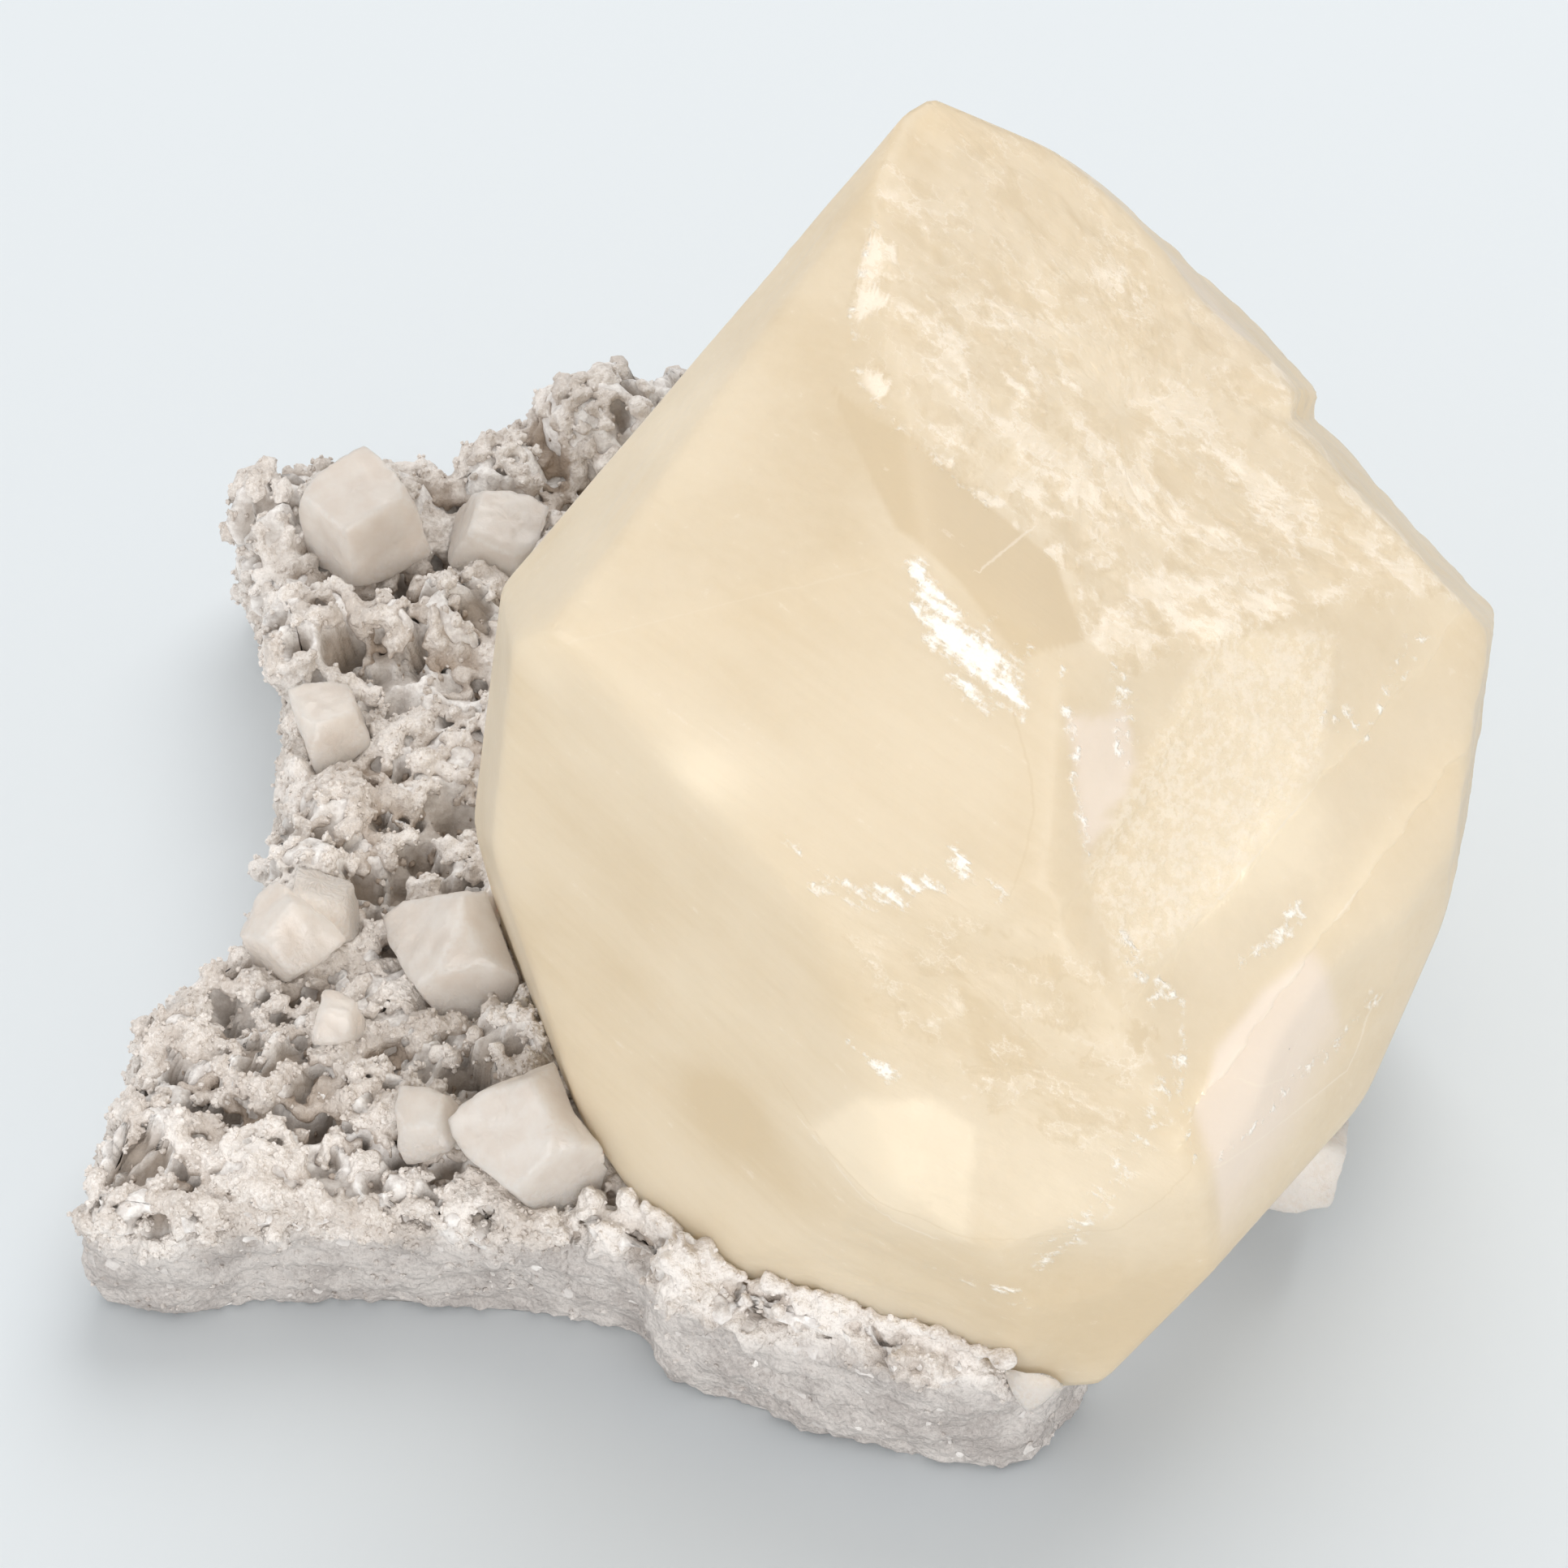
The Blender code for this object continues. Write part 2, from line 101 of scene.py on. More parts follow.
# Small crystals: blocks of centre, half width, stretch, turn in degrees, blunting of the corners
SMALL_CRYSTALS = {
    "crystal_back_left": (((-25.7, 23.6, 12.7), 2.55, 1.15, (52, 14, -28), 1.50),),
    "crystal_back": (((-17.6, 23.0, 11.7), 2.2, 1.10, (24, -40, 12), 1.36),),
    "crystal_left_edge": (((-26.8, 8.8, 11.0), 1.9, 1.10, (35, 25, 40), 1.30),),
    "crystal_left_pair": (((-28.4, -7.6, 11.6), 1.95, 1.00, (48, -18, -20), 1.28),
                          ((-26.4, -5.6, 11.2), 1.75, 0.95, (20, 36, 10), 1.22)),
    "crystal_beside_calcite": (((-18.0, -8.8, 11.4), 3.0, 0.92, (30, -20, 30), 1.18),),
    "crystal_clear_small": (((-25.1, -13.8, 11.8), 1.15, 1.00, (18, 30, 0), 1.30),),
    "crystal_front_clear": (((-19.8, -20.6, 11.2), 1.5, 1.00, (40, 10, 15), 1.26),),
    "crystal_front_blocky": (((-13.2, -22.2, 12.2), 3.0, 0.95, (38, -22, 48), 1.24),),
    "crystal_right_foot": (((29.1, -19.4, 6.6), 2.4, 1.15, (30, 48, 10), 1.30),),
    "crystal_front_corner": (((13.4, -35.6, 9.0), 1.3, 0.80, (20, 10, 30), 1.30),),
}
RHOMB_LEAN = 44.6          # elevation of a cleavage face's normal above the crystal's waist

# The slab: outline half-way up, counter-clockwise from the front left corner
SLAB_OUTLINE = (
    (-39.0, -25.2), (-34.0, -26.4), (-28.0, -25.7), (-17.5, -26.3), (-9.0, -27.8),
    (-5.8, -31.2), (4.2, -35.2), (11.0, -36.6), (14.8, -35.0), (18.4, -30.2), (21.6, -26.2),
    (24.4, -21.8), (26.8, -17.6), (28.6, -10.0), (27.4, -2.0), (29.0, 5.5), (25.2, 12.5),
    (24.4, 20.5), (17.6, 24.5), (14.6, 32.0), (7.4, 34.0), (1.0, 38.0), (-6.7, 38.4),
    (-12.4, 38.2), (-16.6, 34.8), (-19.6, 30.2), (-23.8, 32.0), (-31.2, 31.2), (-33.9, 27.0),
    (-31.4, 18.5), (-29.6, 12.0), (-29.8, 3.0), (-31.2, -5.8), (-35.0, -10.0), (-37.0, -15.0),
    (-38.4, -21.0),
)
SLAB_TOP = 10.0
SLAB_HUB = (2.0, -2.0)     # middle of the slab, below the calcite
# Rounded lumps and open pits of the druse: x, y, height of the centre, radius
LUMPS = (
    (-31.2, 26.6, 10.2, 3.1), (-28.4, 16.4, 10.0, 3.2), (-17.4, 29.4, 10.4, 2.6), (-11.2, 33.8, 11.0, 4.0),
    (-19.6, 18.2, 10.6, 2.8), (-23.4, 17.2, 10.2, 2.4), (-27.4, -2.4, 9.8, 2.8), (-14.8, -14.6, 10.4, 3.0),
    (-34.0, -13.6, 9.2, 2.4), (-29.2, -16.0, 9.8, 2.6), (-22.6, -18.4, 9.4, 2.4), (-26.4, 2.4, 9.8, 2.4),
    (-24.6, 27.2, 9.6, 3.0), (-6.6, 34.6, 10.2, 3.4), (-35.2, -20.4, 8.8, 2.6), (-29.0, -22.6, 9.0, 2.6),
    (-11.6, -21.8, 10.0, 2.4), (-4.6, -28.4, 9.8, 2.2), (3.8, -32.0, 9.6, 2.0), (11.0, -34.2, 9.2, 2.0),
    (-15.4, 9.6, 10.4, 2.6), (-13.6, 22.0, 11.0, 3.0),
)
PITS = (
    (-12.6, 36.6, 12.8, 2.0), (-24.9, 14.6, 11.2, 2.2), (-28.8, 24.2, 12.2, 1.8), (-23.4, 11.2, 10.4, 2.0),
    (-19.8, 2.8, 10.6, 2.6), (-23.2, -3.4, 10.6, 2.2), (-17.0, -17.4, 10.4, 2.2), (-22.4, -14.6, 10.8, 1.8),
    (-31.4, -12.0, 10.6, 2.0), (-19.2, 13.2, 10.8, 2.0), (-26.6, -10.6, 10.8, 1.8), (-21.6, -0.8, 10.0, 1.8),
    (-24.6, 6.6, 10.6, 1.6), (-32.6, -17.4, 10.6, 1.6), (-15.4, 25.6, 12.0, 2.0), (-26.0, -19.6, 10.4, 1.6),
    (-9.6, -24.8, 11.0, 1.6), (-20.6, 22.8, 11.0, 2.0),
)
# More of them behind and beside the calcite: how many, heights, radii, seed
HIDDEN_LUMPS = (26, (9.2, 10.6), (1.8, 3.2), 5)
HIDDEN_PITS = (14, (10.2, 11.4), (1.4, 2.2), 6)
BALL_FLATTENING = 0.85
RIM_POINTS = 640           # points round the slab's outline
# The druse's grains: how many, least and greatest radius
KNOBS = (6200, 0.28, 0.58)
CRUMBS = (24000, 0.15, 0.28)
LOW_GRAINS = (6000, 0.18, 0.36)
FRONT_BUMPS = (5000, 0.22, 0.46)
SEAM_GRAINS = (1100, 0.30, 0.75)
DENTS = 0.22               # how uneven a grain is, as a share of its radius
DRUSE_CELL = 0.20          # smallest detail of the druse's crust
HIDDEN_DRUSE_CELL = 0.26   # and of the crust behind the calcite
# Loose sugar: radii, dents, and how many grains lie on each piece of crust
SUGAR_SIZES = (0.09, 0.21)
SUGAR_DENTS = 0.3
SUGAR_GRAINS = {"druse_front_left": 3600, "druse_left": 2300, "druse_back_left": 1600, "druse_front": 1700,
                "druse_back": 500}
SUGAR_LINE = SLAB_TOP + 1.8     # up to this height, the small crystals are sugary

# The view of the photograph, and the sensor's width
VIEW_AZIMUTH = -90.0
VIEW_ELEVATION = 50.0
VIEW_LENS = 120.0
VIEW_DISTANCE = 300.0
VIEW_TARGET = (0.0, 0.0, 16.0)
SENSOR = 36.0
# The studio: lights as place, diameter in metres and watts; the floor's half width; the tones
LIGHTS = {
    "key": ((250, 720, 1080), 1.05, 6.6),
    "fill": ((90, -690, 330), 0.60, 3.4),
    "side": ((-700, -60, 430), 0.60, 1.8),
}
FLOOR_REACH = 2500.0
FLOOR_TONE = (0.880, 0.920, 0.942, 1.0)
SKY_TONE = (0.99, 1.0, 1.01, 1.0)
SKY_STRENGTH = 0.655

# Tones of the stones
HONEY = (0.735, 0.585, 0.385)
CREAM = (0.85, 0.715, 0.525)
# GLOW is the milky cream, and also the painted light on the upper left slope and the right side
GLOW = (0.955, 0.815, 0.61)
FROST = (0.925, 0.815, 0.67)
WHITE = (0.95, 0.905, 0.835)
PINKISH = (0.905, 0.78, 0.675)
SPECK = (0.25, 0.22, 0.20)
CLEAR_DIM = (0.895, 0.80, 0.712)
CLEAR_MISTY = (0.96, 0.895, 0.824)
# lighter edges of the small crystals: their frost and a painted highlight
CLEAR_RIM_FROST_AND_HIGHLIGHT = (0.975, 0.925, 0.865)
CLEAR_SUGAR = (0.95, 0.89, 0.83)
ROCK_DIM = (0.70, 0.655, 0.62)
ROCK_WHITE = (0.90, 0.865, 0.83)
ROCK_GREY_DARK = (0.47, 0.435, 0.41)
ROCK_GREY_PALE = (0.66, 0.62, 0.59)
# painted shade, dark and warm, for the slab's pits
ROCK_HOLLOW_SHADE = (0.30, 0.235, 0.18)
DRUSE_DIM = (0.67, 0.60, 0.54)
DRUSE_WHITE = (0.88, 0.82, 0.765)
DRUSE_GREY_DARK = (0.43, 0.39, 0.365)
DRUSE_GREY_PALE = (0.62, 0.575, 0.54)
# painted shade, dark and warm, for the druse's pits
DRUSE_HOLLOW_SHADE = (0.38, 0.285, 0.21)


# Noise worked out on whole arrays

def scatter_bits(cells, seed):
    """A 32-bit number for each cell of a lattice: its three places multiplied, mixed and shuffled."""
    x, y, z = (cells[..., axis].astype(np.int64) for axis in range(3))
    bits = (x * 73856093 ^ y * 19349663 ^ z * 83492791 ^ seed * 2654435761) & 0xFFFFFFFF
    bits = ((bits ^ (bits >> 13)) * 1274126177) & 0xFFFFFFFF
    bits = ((bits ^ (bits >> 15)) * 1103515245) & 0xFFFFFFFF
    return bits ^ (bits >> 16)


def three_values(bits):
    """Three numbers from 0 to 1 out of the bits."""
    return np.stack([(bits >> shift & 1023) / 1023.0 for shift in (0, 10, 20)], -1)


def grain_noise(points, size, seed=0):
    """Gradient noise from about -1 to 1: the slopes at a cell's eight corners, blended smoothly."""
    spot = points / size
    base = np.floor(spot)
    inside = spot - base
    ease = inside ** 3 * (inside * (inside * 6 - 15) + 10)
    total = np.zeros(len(points))
    for corner in itertools.product((0, 1), repeat=3):
        slope = three_values(scatter_bits(base + corner, SEED + seed)) * 2 - 1
        share = np.prod(np.where(corner, ease, 1 - ease), axis=1)
        total += share * np.sum(slope * (inside - corner), axis=1)
    return total * 1.6


def cloud(points, size, octaves=3, seed=0):
    """Noises summed, each half the size and half the strength of the one before."""
    return sum(grain_noise(points, size / 2 ** i, seed + i) / 2 ** i for i in range(octaves))


def cell_distance(points, size, seed=0):
    """Distance, in cells, to the nearest of the random spots of which every cell holds one."""
    spot = points / size
    base = np.floor(spot)
    nearest = np.full(len(points), 9.0)
    for offset in itertools.product((-1, 0, 1), repeat=3):
        cell = base + offset
        place = cell + 0.05 + 0.9 * three_values(scatter_bits(cell, SEED + seed))
        nearest = np.minimum(nearest, np.sum((spot - place) ** 2, axis=1))
    return np.sqrt(nearest)


def smooth(value, low, high):
    """0 below low, 1 above high, and an S-curve between."""
    t = np.clip((value - low) / (high - low), 0, 1)
    return t * t * (3 - 2 * t)


def drawn_out(points, run, ratio):
    """Points pressed together along a direction, so that noise read there is drawn out along it."""
    run = unit(run)
    return points - np.outer(points @ run, run) * (1 - 1 / ratio)


def unit(vector):
    """The vector made one long."""
    vector = np.asarray(vector, float)
    return vector / np.linalg.norm(vector)


def direction(azimuth, elevation):
    """Unit vector at an azimuth from +X and an elevation above the ground, in degrees."""
    around, above = math.radians(azimuth), math.radians(elevation)
    return np.array([math.cos(above) * math.cos(around), math.cos(above) * math.sin(around), math.sin(above)])


# Crystals: a block of planes, gridded face by face

def block_corners(normals, distances):
    """Every point where three planes of the block meet and that no other plane cuts off."""
    trios = np.array(list(itertools.combinations(range(len(normals)), 3)))
    sides = normals[trios]
    trios = trios[np.abs(np.linalg.det(sides)) > 1e-6]
    corners = np.linalg.solve(normals[trios], distances[trios][..., None])[..., 0]
    kept = corners[np.all(corners @ normals.T <= distances + 1e-6, axis=1)]
    return np.unique(np.round(kept, 4), axis=0)


def face_loop(corners, normal, distance):
    """The corners of one face, counter-clockwise seen from outside."""
    loop = corners[np.abs(corners @ normal - distance) < 1e-3]
    if len(loop) < 3:
        return None
    side = unit(np.cross(normal, (0.31, 0.52, 0.79)))
    away = loop - loop.mean(0)
    return loop[np.argsort(np.arctan2(away @ np.cross(normal, side), away @ side))]


def face_rim(loop, cell_between):
    """Points along a face's edges. An edge is split the same way whichever face it is read from."""
    rim = []
    for start, end in zip(loop, np.roll(loop, -1, axis=0)):
        first, last = sorted((tuple(start), tuple(end)))
        count = max(1, math.ceil(math.dist(first, last) / cell_between(first, last)))
        share = np.arange(count + 1)[:, None] / count
        run = np.array(first) * (1 - share) + np.array(last) * share
        rim.append((run if first == tuple(start) else run[::-1])[:-1])
    return np.vstack(rim)


def face_patch(rim, cell):
    """A face as rings from its middle to its rim: point = middle + t (rim - middle), t from 0 to 1."""
    middle = rim.mean(0)
    rings = max(2, math.ceil(np.linalg.norm(rim - middle, axis=1).mean() / cell))
    t = (np.arange(1, rings + 1) / rings) ** 0.85
    grid = middle + t[:, None, None] * (rim - middle)
    grid[-1] = rim
    count = len(rim)
    around = np.arange(count)
    fan = np.stack([np.zeros(count, int), 1 + around, 1 + (around + 1) % count], 1)
    return np.vstack([middle, grid.reshape(-1, 3)]), np.vstack([fan, ring_faces(rings, count, 1)])


def ring_faces(rings, count, first=0):
    """Triangles between closed rings of count points, of which the innermost starts at point first."""
    around = np.arange(count)
    ahead = (around + 1) % count
    low = first + np.arange(rings - 1)[:, None] * count
    a, b = (low + around).ravel(), (low + count + around).ravel()
    c, d = (low + count + ahead).ravel(), (low + ahead).ravel()
    return np.vstack([np.stack([a, b, c], 1), np.stack([a, c, d], 1)])


def gridded_block(centre, planes, cells):
    """The whole block as one closed grid. cells gives each face's spacing."""
    normals = np.array([normal for normal, _ in planes])
    distances = np.array([distance for _, distance in planes])
    corners = block_corners(normals, distances)

    def cell_between(first, last):
        """The finest spacing among the faces that share the edge between two corners."""
        on = [i for i in range(len(planes))
              if max(abs(normals[i] @ first - distances[i]), abs(normals[i] @ last - distances[i])) < 1e-3]
        return min(cells[i] for i in on)

    points, faces, used = [], [], 0
    for i, (normal, distance) in enumerate(planes):
        loop = face_loop(corners, normal, distance)
        if loop is None:
            continue
        patch, triangles = face_patch(face_rim(loop, cell_between), cells[i])
        points.append(patch)
        faces.append(triangles + used)
        used += len(patch)
    points, faces = np.vstack(points), np.vstack(faces)
    _, first, back = np.unique(np.round(points, 5), axis=0, return_index=True, return_inverse=True)
    return points[first] + centre, back.ravel()[faces]


def settle(points, centre, planes, reliefs, rounding):
    """Each point slides along its ray from the centre to the nearest face, lowered by the face's relief.

    Reach to a face = (distance - relief) / cosine; the reaches are joined by a soft minimum,
    -r log(sum of exp(-reach / r)), which rounds the edges by r."""
    ray = points - centre
    ray = ray / np.linalg.norm(ray, axis=1, keepdims=True)
    reaches = []
    for i, (normal, distance) in enumerate(planes):
        facing = np.maximum(ray @ normal, 0.02)
        lowered = np.zeros(len(points))
        near = distance - (points - centre) @ normal < 4.0
        if i in reliefs:
            lowered[near] = reliefs[i](points[near])
        reaches.append((distance - lowered) / facing)
    reaches = np.array(reaches)
    low = reaches.min(0)
    soft = low - rounding * np.log(np.exp(-(reaches - low) / rounding).sum(0))
    return centre + ray * soft[:, None]


def calcite_planes():
    """Normal and distance of each of the calcite's faces."""
    return [(direction(*lean), distance) for *lean, distance in CALCITE_FACES.values()]


def face_normal(face):
    """Outward normal of one of the calcite's faces, by its name."""
    azimuth, elevation, _ = CALCITE_FACES[face]
    return direction(azimuth, elevation)


def step_depth(points, steps, normal, ragged=0.35):
    """Depth of the broken steps: beyond each edge, ragged by noise, the face lies deeper."""
    depth = np.zeros(len(points))
    wobble = ragged * cloud(points, 2.2, 3, 20)
    for start, end, drop in steps:
        along = np.subtract(end, start)
        beyond = unit(np.cross(along - normal * (along @ normal), normal))
        depth = np.maximum(depth, drop * smooth((points - start) @ beyond + wobble, -0.35, 0.55))
    return depth


def chip_depth(points, chip, normal):
    """Depth of a shell-shaped chip: a ball's cap below the face."""
    spot, radius, depth = chip
    middle = np.array(spot) + normal * (radius - depth)
    off = points - middle
    across = np.sum(off ** 2, axis=1) - (off @ normal) ** 2
    return np.maximum(0, np.sqrt(np.maximum(radius ** 2 - across, 0)) - (radius - depth))


def path_distance(points, path):
    """Distance to a line of straight stretches, the share of its length there, and the side of it."""
    path = np.array(path, float)
    runs = np.diff(path, axis=0)
    lengths = np.linalg.norm(runs, axis=1)
    behind = np.concatenate([[0], np.cumsum(lengths)[:-1]])
    best, share, side = np.full(len(points), 99.0), np.zeros(len(points)), np.zeros(len(points))
    for start, run, length, before in zip(path, runs, lengths, behind):
        along = np.clip((points - start) @ run / length ** 2, 0, 1)
        gap = points - start - along[:, None] * run
        distance = np.linalg.norm(gap, axis=1)
        nearer = distance < best
        turn = np.sign(np.sum(np.cross(run, points - np.array(CALCITE_CENTRE)) * gap, axis=1))
        best = np.where(nearer, distance, best)
        share = np.where(nearer, (before + along * length) / lengths.sum(), share)
        side = np.where(nearer, turn, side)
    return best, share, side


def area_depth(points, corners):
    """Signed distance to an outline in plan, positive inside: nearest side, sign by crossings."""
    x, y = points[:, 0], points[:, 1]
    nearest, inside = np.full(len(points), 99.0), np.zeros(len(points), bool)
    for (ax, ay), (bx, by) in zip(corners, corners[1:] + corners[:1]):
        along = ((x - ax) * (bx - ax) + (y - ay) * (by - ay)) / ((bx - ax) ** 2 + (by - ay) ** 2)
        along = np.clip(along, 0, 1)
        nearest = np.minimum(nearest, np.hypot(x - ax - along * (bx - ax), y - ay - along * (by - ay)))
        slope = (bx - ax) / (by - ay) if by != ay else 0.0
        inside ^= ((ay > y) != (by > y)) & (x < ax + slope * (y - ay))
    return np.where(inside, nearest, -nearest)


# What the calcite's faces show. White marks: path, half width at its start and end, whiteness
WHITE_MARKS = {
    "feather": (((6.4, -15.9, 52.3), (8.1, -18.7, 50.6), (10.5, -20.9, 49.3)), 0.35, 1.8, 1.0),
    "feather_tail": (((9.6, -19.6, 50.0), (11.3, -21.2, 48.9), (11.9, -22.3, 47.9)), 0.9, 0.3, 0.7),
    "chip_row_left": (((1.5, -27.2, 40.7), (4.7, -28.1, 40.7)), 0.5, 0.7, 0.7),
    "chip_row_right": (((4.7, -28.1, 40.7), (8.5, -27.9, 41.9)), 0.8, 0.6, 0.9),
    "chip_tip": (((0.0, -25.4, 41.9), (0.9, -26.0, 41.5)), 0.22, 0.14, 0.9),
    "chip_bright": (((8.7, -26.8, 43.1), (8.9, -27.4, 42.5)), 0.28, 0.24, 1.0),
    "chip_last": (((10.3, -28.3, 42.0), (10.9, -28.9, 41.4)), 0.22, 0.2, 0.95),
    "flash": (((3.3, -31.1, 32.5), (5.4, -32.2, 31.1)), 0.25, 0.42, 1.0),
    "healed_crack": (((20.4, -33.0, 32.5), (18.1, -34.9, 28.2), (15.7, -36.1, 24.2), (13.8, -36.4, 19.4)),
                     0.7, 0.9, 0.35),
    "side_edge": (((22.3, -34.6, 27.0), (26.4, -29.9, 26.4), (29.7, -26.3, 25.7), (31.5, -24.1, 27.1)),
                  0.35, 0.55, 0.4),
    "step_flash": (((23.8, -28.4, 34.8), (26.4, -26.4, 34.9), (27.3, -25.3, 35.5)), 0.35, 0.6, 0.75),
    "step_white": (((28.1, -17.8, 42.8), (30.7, -17.5, 41.2), (33.3, -13.2, 43.8)), 0.6, 0.8, 0.35),
    "crust_edge": (((4.8, 4.8, 56.4), (3.3, -1.5, 54.6), (3.9, -5.0, 54.0), (6.3, -9.0, 54.0),
                    (13.7, -14.5, 50.9)), 0.3, 0.35, 0.22),
    "white_vein": (((13.9, -20.8, 49.9), (14.4, -22.9, 47.5), (14.6, -24.5, 45.6), (15.4, -26.8, 42.6)),
                   0.35, 0.3, 0.6),
    "right_vein": (((16.6, -19.9, 49.0), (17.1, -21.2, 47.3), (17.6, -22.8, 45.9)), 0.3, 0.8, 0.55),
    "edge_by_recess": (((20.8, -32.0, 33.3), (20.4, -33.8, 31.6), (20.9, -34.8, 29.4), (21.4, -35.5, 27.6)),
                       0.45, 0.3, 0.5),
    "panel_edge": (((16.9, -29.5, 38.7), (18.4, -30.6, 36.8), (20.6, -31.2, 34.8)), 0.5, 0.7, 0.5),
    "foot_crust": (((2.0, -35.0, 18.5), (7.0, -36.4, 17.5), (12.0, -36.9, 17.0)), 1.5, 1.2, 0.3),
}
# Hairline cracks and growth lines: path, brightness (negative is a dark line)
HAIRLINES = {
    "curved_crack": (((11.5, -22.3, 48.0), (12.3, -24.5, 46.2), (12.5, -26.0, 44.8), (12.0, -27.7, 43.1),
                      (11.5, -28.8, 41.9)), -0.6),
    "window_crack": (((9.9, -16.0, 51.9), (12.5, -12.9, 51.5)), 0.8),
    "arc": (((-0.3, -29.2, 26.8), (2.3, -31.8, 23.9), (4.8, -34.2, 22.6), (9.9, -36.2, 22.1),
             (14.1, -36.4, 22.4), (17.4, -36.1, 23.1), (21.0, -35.7, 27.1)), -0.45),
    "slope_edge": (((-11.0, -16.4, 46.9), (-4.0, -16.3, 49.4), (4.2, -15.9, 51.8)), 0.25),
    "step_rim": (((20.7, -35.6, 29.5), (25.5, -29.8, 32.2), (30.4, -23.7, 34.9)), 0.8),
    "panel_rim": (((22.5, -26.3, 38.0), (28.1, -20.1, 40.4)), 0.6),
    "triangle_side": (((8.4, -30.1, 37.6), (13.4, -32.4, 33.1)), -0.6),
    "cream_edge": (((0.8, -30.6, 24.8), (3.1, -32.7, 23.0), (5.7, -34.4, 21.4), (7.8, -35.2, 20.7)), 0.7),
    "side_edge_line": (((22.4, -34.6, 26.4), (26.6, -30.0, 24.4), (29.9, -26.3, 23.7), (31.3, -24.3, 26.7)),
                       1.0),
    "side_vein": (((24.0, -32.2, 29.5), (26.4, -30.0, 27.2), (28.0, -28.2, 29.6)), 0.6),
    "triangle_foot": (((13.4, -32.4, 33.1), (10.6, -33.4, 29.6)), -0.35),
}
# Clouded light inside, and painted light on the upper left slope and the right side: centre, radius, strength
# (negative is deeper honey)
GLOWS = {
    # painted light: a paler glow on the upper left slope
    "upper_left_painted_glow": ((-5.6, -3.6, 49.8), (5.2, 4.4, 4.0), 0.9),
    "slope_low": ((-9.0, -7.5, 47.0), (3.4, 4.0, 3.0), 0.5),
    "pane_patch": ((-4.1, -22.4, 43.5), (3.6, 2.0, 1.6), 1.0),
    "left_corner": ((-12.3, -15.9, 43.8), (1.6, 1.2, 1.2), 0.7),
    "left_pane": ((-9.5, -19.5, 41.0), (4.5, 3.5, 4.0), 0.45),
    "front_cream": ((5.5, -33.0, 26.5), (5.5, 3.0, 3.6), 0.4),
    "front_cream_right": ((14.5, -36.0, 26.0), (7.0, 3.0, 4.0), 0.6),
    "flank_honey": ((-9.5, -22.5, 33.0), (4.5, 4.0, 6.0), -0.5),
    "low_dark": ((-3.2, -27.7, 22.2), (2.8, 2.4, 2.0), -1.7),
    "low_honey": ((-1.0, -29.5, 19.5), (9.0, 5.0, 2.8), -0.6),
    "middle_honey": ((3.4, -30.0, 35.5), (6.0, 3.0, 3.0), -0.35),
    "slope_honey": ((0.5, -10.0, 53.0), (6.0, 5.0, 3.0), -0.45),
    "peak_honey": ((10.0, 8.0, 56.0), (8.0, 8.0, 4.0), -0.2),
    "foot_honey": ((17.0, -35.5, 15.5), (8.0, 5.0, 5.0), -1.0),
    "left_strip": ((-16.0, -12.0, 22.0), (2.2, 6.0, 10.0), 0.5),
    "panel": ((26.5, -22.8, 38.6), (3.5, 3.0, 1.8), 0.6),
    # painted light: the right side made paler
    "right_side_painted_light": ((25.0, -24.0, 36.0), (9.0, 8.0, 9.0), 0.6),
}
CRUST_FLOW = (0.70, -0.68, -0.22)     # the way the crust's plates and streaks run
PANE_RUN = (0.80, -0.53, -0.28)       # the way the growth lines of the front panes run
# Areas in plan (x, y), or seen from the front (x, z) for the two named front
DARK_TRIANGLE = [(8.4, -30.1), (13.4, -32.4), (10.6, -33.4)]
HONEY_WINDOW = [(2.5, -5.0), (4.2, -7.2), (7.4, -9.6), (13.7, -14.6), (15.2, -19.0), (11.9, -20.4),
                (9.0, -17.2), (5.6, -14.0)]
CRUST_AREA = [(4.8, 6.0), (3.3, -1.5), (3.9, -5.0), (6.3, -9.0), (13.7, -14.5), (15.2, -19.0), (16.8, -20.1),
              (20.7, -18.0), (26.3, -14.8), (36.0, -11.0), (42.0, 0.0), (30.0, 24.0), (6.0, 24.0)]
PINK_PATCH = [(14.2, -22.4), (17.2, -21.2), (18.0, -22.8), (16.2, -25.6), (15.3, -27.2), (14.5, -24.6)]
PINK_RECESS = [(27.6, -27.0), (29.6, -26.2), (26.4, -30.4), (23.0, -34.6), (21.6, -35.0), (22.6, -32.0),
               (25.2, -29.0)]
SUGARY_PANEL = [(15.0, -27.6), (21.9, -16.6), (29.0, -14.4), (28.1, -19.6), (22.9, -26.0), (17.4, -31.4)]
FRONT_ETCHED = [(3.0, 38.5), (9.0, 40.5), (14.5, 40.0), (19.5, 34.0), (20.5, 29.0), (16.0, 27.0),
                (10.5, 29.5), (6.0, 31.0)]
FRONT_CREAM = [(1.0, 24.6), (3.1, 23.0), (5.7, 21.4), (7.8, 20.7), (9.8, 21.6), (10.0, 28.7), (7.7, 30.2),
               (3.9, 29.7)]
# Spots: clear stretches of the crust with their radius, its whitest blobs, and a pink stain at the back
CRUST_CLEARINGS = (((11.2, 4.1, 54.4), 3.0), ((16.6, -0.7, 52.0), 2.4), ((22.0, 2.0, 50.0), 3.0))
CRUST_BLOBS = ((21.3, -16.5, 48.2), (24.2, -13.1, 47.8), (19.7, -10.8, 49.6))
BLOB_RADIUS = 1.6
PINK_STAIN = ((24.0, 7.5, 48.5), (3.5, 5.0, 2.5))


